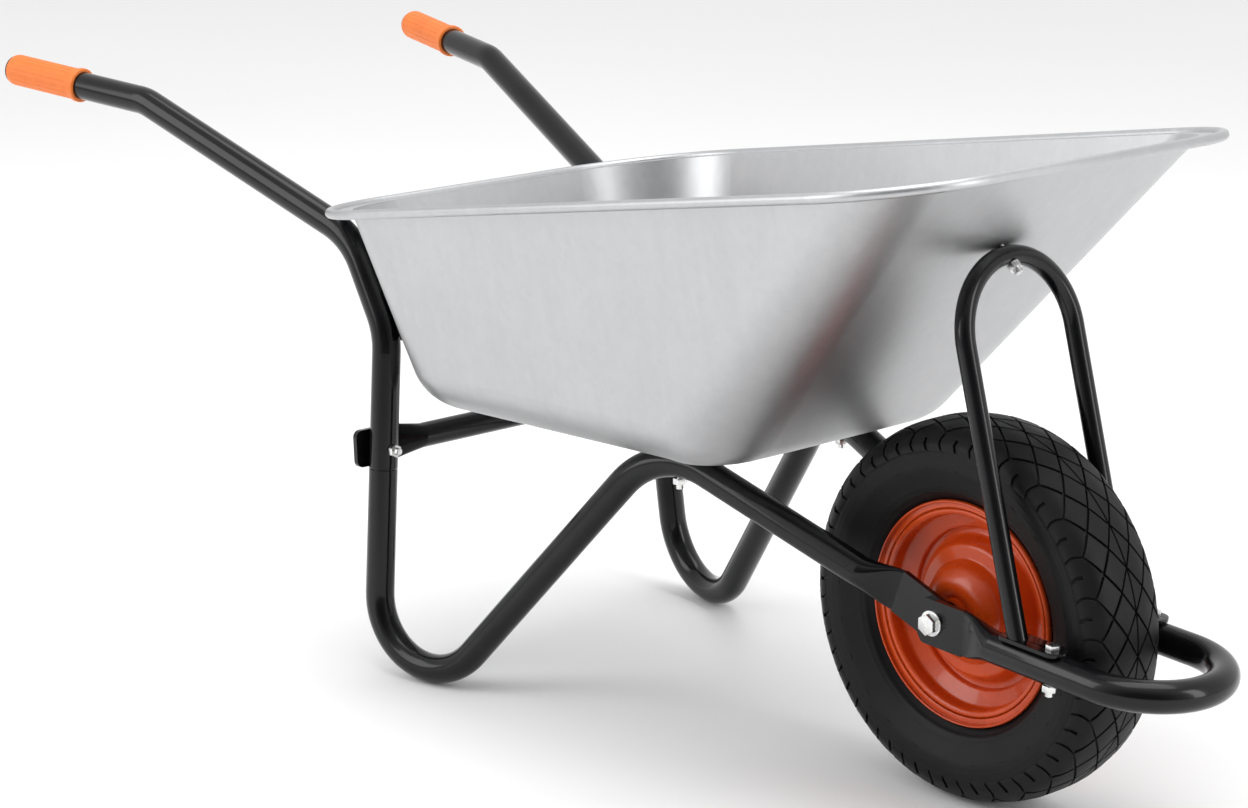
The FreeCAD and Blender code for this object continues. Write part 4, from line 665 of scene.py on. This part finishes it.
def make_tyre():
    """The carcass, its tread blocks and the small marks on its sides."""
    carcass = lathe("tyre_carcass", carcass_outline(), axle, 168)
    new_piece("tyre_carcass", carcass, "tyre_rubber", "wheel", "tyre")
    blocks = [tread_block(faces, gap, side) for faces, gap in tread_polygons()
              for side in (-1, 1)]
    pitch = joined("tread_pitch", blocks)
    tread = ring_of("tyre_tread", pitch, PITCHES, axle, FINISHES["tyre_rubber"])
    shade_by_angle(tread, 32.0)
    new_piece("tyre_tread", tread, "tyre_rubber", "wheel")
    dashes = []
    for side in (-1, 1):
        for radius, turn, long, wide in ((tyre_radius - 44 * MM, 0.0, 9 * MM, 1.1 * MM),
                                         (flange_radius + 20 * MM, 0.06, 1.6 * MM, 1.6 * MM),
                                         (tyre_radius - 52 * MM, 0.11, 1.4 * MM, 1.4 * MM)):
            dashes.append(side_mark(side, radius, turn, long, wide))
    marks = ring_of("tyre_side_marks", joined("side_marks_pattern", dashes), 24, axle,
                    FINISHES["tyre_rubber"])
    new_piece("tyre_side_marks", marks, "tyre_rubber", "wheel")


def side_mark(side, radius, turn, long, wide):
    """A small raised mark of the mould on the side wall."""
    reach = next(run for point, run in zip(SIDE, RUN) if point.x < radius and point.y > 0.02)
    shape = bmesh.new()
    bmesh.ops.create_uvsphere(shape, u_segments=10, v_segments=6, radius=0.5)
    for vertex in shape.verts:
        along, across, lift = vertex.co
        angle = turn + along * long / radius
        point, normal = on_side(side * (reach - across * wide))
        place = point + normal * (lift * 1.1 * MM)
        vertex.co = (place.x * math.sin(angle), place.y, place.x * math.cos(angle))
    bmesh.ops.recalc_face_normals(shape, faces=shape.faces)
    return from_bmesh("side_mark", shape)


make_tyre()


# ---------------------------------------------------------------- wheel discs

DISC_SHEET = 2 * MM


def disc_centreline():
    """Middle of the pressed sheet, as (radius, offset) corners from lip to hub."""
    skin = DISC_SHEET / 2
    edge, seat, lip = flange_radius - skin, 100.6 * MM, 31 * MM
    corners = [(edge - 1.2 * MM, lip + 5.2 * MM), (edge, lip + 3.4 * MM), (edge, lip),
               (edge - 6.5 * MM, lip), (edge - 7.5 * MM, lip - 1.2 * MM), (seat, lip - 1.2 * MM),
               (seat, 15 * MM), (84 * MM, 7 * MM), (84 * MM, skin), (74 * MM, skin),
               (67 * MM, 18.2 * MM), (52.5 * MM, 20.2 * MM), (46.5 * MM, 33 * MM),
               (35 * MM, 42 * MM), (19.2 * MM, 42 * MM)]
    radii = [0, 1.5 * MM, 2.2 * MM, 0.8 * MM, 0.8 * MM, 3 * MM, 5 * MM, 3 * MM, 5 * MM,
             10 * MM, 5 * MM, 4 * MM, 16 * MM, 16 * MM, 0]
    return rounded(corners, radii, steps=7, closed=False)


def sheet_outline(line, thickness):
    """Both faces of a bent sheet, offset from its middle."""
    faces = ([], [])
    for index, point in enumerate(line):
        before, after = line[max(index - 1, 0)], line[min(index + 1, len(line) - 1)]
        run = (after - before).normalized()
        normal = Vector((run.y, -run.x))
        faces[0].append(point + normal * thickness / 2)
        faces[1].append(point - normal * thickness / 2)
    return faces[0] + faces[1][::-1]


def make_disc(side_name, side):
    """One pressed disc of the wheel, turned from its bent sheet."""
    name = f"wheel_disc_{side_name}"
    outline = [(point.x, side * point.y)
               for point in sheet_outline(disc_centreline(), DISC_SHEET)]
    new_piece(f"{name}_pressed", lathe(f"{name}_pressed", outline, axle, 144),
              SLOT_OF[name], BODY_OF[name], name)


# ---------------------------------------------------------------- grips

GRIP_FLUTES = 20


def make_grip(side_name):
    """A fluted sleeve with a rounded closed end and a collar."""
    node = f"grip_{side_name}"
    base, along = grip_axis(node)
    length = 115 * MM
    steps = GRIP_FLUTES * 8
    profile = [(0.0, 0.2), (0.35 * MM, 7.5), (1.2 * MM, 11.5), (3.0 * MM, 15.2),
               (5.5 * MM, 17.4), (8 * MM, 18.1), (10 * MM, 18.3), (13 * MM, 18.3),
               (length - 16 * MM, 18.3), (length - 13 * MM, 18.3), (length - 9 * MM, 18.3),
               (length - 7.2 * MM, 18.5), (length - 6.6 * MM, 19.5),
               (length - 5.8 * MM, 19.9), (length - 1.2 * MM, 19.9), (length - 0.4 * MM, 19.6),
               (length, 18.9), (length, 16.2)]
    turn = Vector((0, 0, 1)).rotation_difference(along).to_matrix()
    shape = bmesh.new()
    rings = []
    for distance, radius in profile:
        inside = min(max((distance - 9 * MM) / (5 * MM), 0), 1) \
            * min(max((length - 9.5 * MM - distance) / (4 * MM), 0), 1)
        ring = []
        for step in range(steps):
            angle = 2 * math.pi * step / steps
            wave = 0.5 - 0.5 * math.cos(angle * GRIP_FLUTES)
            reach = radius * MM - 1.0 * MM * inside * (1 - wave ** 0.6)
            local = Vector((reach * math.cos(angle), reach * math.sin(angle), distance))
            ring.append(shape.verts.new(base + turn @ local))
        rings.append(ring)
    for here, there in zip(rings, rings[1:]):
        for step in range(steps):
            after = (step + 1) % steps
            shape.faces.new((here[step], here[after], there[after], there[step]))
    shape.faces.new(rings[0][::-1])
    bmesh.ops.recalc_face_normals(shape, faces=shape.faces)
    mesh = from_bmesh(f"{node}_shown", shape)
    shade_by_angle(mesh, 50.0)
    new_piece(f"{node}_shown", mesh, "orange_grip", "frame", node)


def grip_axis(node):
    """Centre of a grip's closed end and its direction, from its own points."""
    points = [vertex.co.copy() for vertex in frame["nodes"][node].data.vertices]
    middle = sum(points, Vector()) / len(points)
    along = Vector((1, 0, 0))
    for _ in range(12):
        along = sum(((point - middle) * (point - middle).dot(along) for point in points),
                    Vector()).normalized()
    low = min((point - middle).dot(along) for point in points)
    ends = [point for point in points if (point - middle).dot(along) < low + 0.4 * MM]
    centre = sum(ends, Vector()) / len(ends)
    centre = middle + along * low + (centre - middle - along * (centre - middle).dot(along))
    return centre, along


for name in SIDES:
    make_grip(name)


# ---------------------------------------------------------------- plain nodes and fasteners

for name, thing in frame["nodes"].items():
    thing.data.materials.clear()
    thing.data.materials.append(FINISHES[SLOT_OF[name]])

make_disc("right", -1)

for name in ("axle_bolt", "axle_nut", "brace_bolts", "brace_nuts", "foot_bolts", "foot_nuts",
             "stay_nut", "strap_nuts", "floor_nuts"):
    softened(name, 0.45 * MM)
for name in ("axle_washer_right", "axle_washer_left", "stay_foot_right", "stay_foot_left",
             "tray_strap_right", "tray_strap_left"):
    softened(name, 0.4 * MM)


# ---------------------------------------------------------------- pressed tube ends

TUBE = 16 * MM
LUG_TALL = 47 * MM
LUG_THICK = 6 * MM
HOOP_FLAT = 40 * MM
LEG_FLAT = 56 * MM
PRESS_RUN = 42 * MM
HOOP_ROUND = HOOP_FLAT + PRESS_RUN
LUG_MIDDLE = 76 * MM
PRESS_STEPS = 14


def middle_at(shape, station, normal, side):
    """Centre of a tube where a plane cuts it, on one side of the barrow."""
    copy = shape.copy()
    near = [face for face in copy.faces if (face.calc_center_median() - station).length < 0.12
            and face.calc_center_median().y * side > 0]
    parts = near + list({edge for face in near for edge in face.edges}) \
        + list({vertex for face in near for vertex in face.verts})
    marks = bmesh.ops.bisect_plane(copy, geom=parts, plane_co=station,
                                   plane_no=normal)["geom_cut"]
    points = [item.co.copy() for item in marks if isinstance(item, bmesh.types.BMVert)]
    copy.free()
    low = [min(point[axis] for point in points) for axis in range(3)]
    high = [max(point[axis] for point in points) for axis in range(3)]
    return Vector([(a + b) / 2 for a, b in zip(low, high)])


def pressed_ring(share, centre, tall_axis, thick_axis):
    """Section of the pressed stretch: a circle at 0, a flat oval bar at 1."""
    share = share * share * (3 - 2 * share)
    end = LUG_THICK / 2
    ring = []
    for half in (1, -1):
        for step in range(13):
            angle = math.pi * step / 12
            out = Vector((math.cos(angle) * half, math.sin(angle) * half))
            flat = Vector((0, (LUG_TALL / 2 - end) * half)) + out * end
            point = out * TUBE * (1 - share) + flat * share
            ring.append(centre + thick_axis * point.x + tall_axis * point.y)
    return ring


def open_near(shape, points, normals, reach):
    """Take away what lies between two planes, near their points."""
    for point, normal in zip(points, normals):
        near = [face for face in shape.faces
                if (face.calc_center_median() - point).length < reach]
        parts = near + list({edge for face in near for edge in face.edges}) \
            + list({vertex for face in near for vertex in face.verts})
        bmesh.ops.bisect_plane(shape, geom=parts, plane_co=point, plane_no=normal)
    middle = (points[0] + points[1]) / 2
    gone = []
    for face in shape.faces:
        spot = face.calc_center_median()
        if (spot - middle).length < reach and (spot - points[0]).dot(normals[0]) > 0 \
                and (spot - points[1]).dot(normals[1]) < 0:
            gone.append(face)
    bmesh.ops.delete(shape, geom=gone, context="FACES")


def press(shape, start, flat, start_axis, flat_axis):
    """Replace one pressed stretch by a smooth one between a tube and its flat end."""
    open_near(shape, (start, flat), (start_axis, flat_axis), 0.075)
    rings = []
    for step in range(PRESS_STEPS + 1):
        share = step / PRESS_STEPS
        along = start_axis.lerp(flat_axis, share).normalized()
        tall = along.cross(ACROSS).normalized()
        if tall.z < 0:
            tall = -tall
        thick = tall.cross(along).normalized()
        centre = start.lerp(flat, share)
        rings.append([shape.verts.new(point)
                      for point in pressed_ring(share, centre, tall, thick)])
    count = len(rings[0])
    for here, there in zip(rings, rings[1:]):
        for index in range(count):
            after = (index + 1) % count
            shape.faces.new((here[index], here[after], there[after], there[index]))


def pressed_node(name, ends):
    """A CAD tube shown with smooth pressed stretches at the given ends."""
    shape = bmesh.new()
    shape.from_mesh(frame["nodes"][name].data)
    bmesh.ops.remove_doubles(shape, verts=shape.verts, dist=SAME_POINT)
    for start, flat, start_axis, flat_axis in ends:
        press(shape, start, flat, start_axis, flat_axis)
    bmesh.ops.recalc_face_normals(shape, faces=shape.faces)
    mesh = from_bmesh(f"{name}_shown", shape)
    shade_by_angle(mesh, 33.0)
    return new_piece(f"{name}_shown", mesh, SLOT_OF[name], BODY_OF[name], name)


def smooth_frame_ends():
    """Smooth the pressed stretches of the front hoop and of both leg tubes."""
    hoop_low, hoop_high = (Vector(corner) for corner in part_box("front_hoop"))
    tilt = math.asin((axle.z - hoop_low.z - TUBE) / (hoop_high.x - TUBE - axle.x))
    ahead = Vector((math.cos(tilt), 0, -math.sin(tilt)))
    hoop = bmesh.new()
    hoop.from_mesh(frame["nodes"]["front_hoop"].data)
    bmesh.ops.remove_doubles(hoop, verts=hoop.verts, dist=SAME_POINT)
    ends = []
    for side_name, side in SIDES.items():
        lug_line = axle + ACROSS * side * LUG_MIDDLE
        start = middle_at(hoop, lug_line + ahead * HOOP_ROUND, ahead, side)
        flat = middle_at(hoop, lug_line + ahead * HOOP_FLAT, ahead, side)
        ends.append((start, flat, -ahead, -ahead))
        leg = bmesh.new()
        leg.from_mesh(frame["nodes"][f"leg_tube_{side_name}"].data)
        bmesh.ops.remove_doubles(leg, verts=leg.verts, dist=SAME_POINT)
        guess = axle + Vector((-0.18, 0.09 * side, 0.06))
        first = middle_at(leg, guess, Vector((1, 0, 0)), side)
        second = middle_at(leg, guess + Vector((0.05, 0, -0.017)), Vector((1, 0, 0)), side)
        toward = (second - first).normalized()
        lug_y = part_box(f"axle_washer_{side_name}")[0 if side > 0 else 1][1]
        lug = Vector((axle.x, lug_y - side * LUG_THICK * 1.5, axle.z))
        level = Vector((toward.x, 0, toward.z)).normalized()
        leg.free()
        pressed_node(f"leg_tube_{side_name}",
                     [(lug - toward * (LEG_FLAT + PRESS_RUN), lug - level * LEG_FLAT,
                       toward, level)])
    hoop.free()
    pressed_node("front_hoop", ends)


smooth_frame_ends()


# ---------------------------------------------------------------- studio

def camera():
    """The three-quarter view from the front right of the barrow."""
    azimuth, elevation, roll = math.radians(47.42), math.radians(15.0), math.radians(0.62)
    back = Vector((math.sin(azimuth) * math.cos(elevation),
                   -math.cos(azimuth) * math.cos(elevation), math.sin(elevation)))
    right = Vector((math.cos(azimuth), math.sin(azimuth), 0))
    above = back.cross(right)
    level = right * math.cos(roll) + above * math.sin(roll)
    upright = above * math.cos(roll) - right * math.sin(roll)
    lens = bpy.data.cameras.new("view")
    lens.lens = 92.12
    lens.sensor_width = 36.0
    lens.shift_x = 2.1 / 1248
    lens.shift_y = 1.8 / 1248
    lens.clip_end = 60.0
    thing = bpy.data.objects.new("view", lens)
    bpy.context.collection.objects.link(thing)
    turn = Matrix((level, upright, back)).transposed().to_4x4()
    thing.matrix_world = Matrix.Translation((2.4751, -2.3119, 1.2083)) @ turn
    bpy.context.scene.camera = thing


def softbox(name, place, aim_at, size, power):
    lamp = bpy.data.lights.new(name, "AREA")
    lamp.shape = "RECTANGLE"
    lamp.size, lamp.size_y = size
    lamp.energy = power
    thing = bpy.data.objects.new(name, lamp)
    bpy.context.collection.objects.link(thing)
    direction = Vector(aim_at) - Vector(place)
    thing.matrix_world = Matrix.Translation(place) @ \
        direction.to_track_quat("-Z", "Y").to_matrix().to_4x4()


def studio():
    """Pale floor, even sky with one dark side, and three softboxes."""
    floor = bpy.data.meshes.new("studio_floor")
    floor.from_pydata([(-30, -30, 0), (30, -30, 0), (30, 30, 0), (-30, 30, 0)], [],
                      [(0, 1, 2, 3)])
    ground = bpy.data.objects.new("studio_floor", floor)
    ground.location.z = -0.0006
    bpy.context.collection.objects.link(ground)
    pale = Finish("pale_floor", Roughness=0.9)
    cloud = pale.noise(0.7, 2.0)
    floor.materials.append(pale.paint(Base_Color=pale.ramp(cloud, (0.3, grey(0.93)),
                                                           (0.7, grey(0.95)))))
    sky = bpy.data.worlds.new("studio_sky")
    sky.use_nodes = True
    tree = sky.node_tree
    spot = tree.nodes.new("ShaderNodeTexCoord")
    facing = tree.nodes.new("ShaderNodeVectorMath")
    facing.operation = "DOT_PRODUCT"
    facing.inputs[1].default_value = (0.68, -0.72, 0.12)
    shade = tree.nodes.new("ShaderNodeValToRGB")
    for element, (place, value) in zip(shade.color_ramp.elements, ((0.55, 1.0), (0.93, 0.10))):
        element.position = place
        element.color = grey(value)
    tree.links.new(spot.outputs["Generated"], facing.inputs[0])
    tree.links.new(facing.outputs["Value"], shade.inputs[0])
    tree.links.new(shade.outputs[0], tree.nodes["Background"].inputs["Color"])
    tree.nodes["Background"].inputs["Strength"].default_value = 0.95
    bpy.context.scene.world = sky
    bpy.context.scene.view_settings.view_transform = "Standard"
    softbox("left_wall", (-1.3, -3.0, 1.9), (0, 0, 0.4), (2.0, 2.4), 45)
    softbox("top_bank", (0.2, 0.2, 3.2), (0.1, 0, 0.3), (2.8, 2.4), 55)
    softbox("front_strip", (3.4, 0.9, 1.5), (0.4, 0, 0.4), (0.8, 2.6), 30)


camera()
studio()
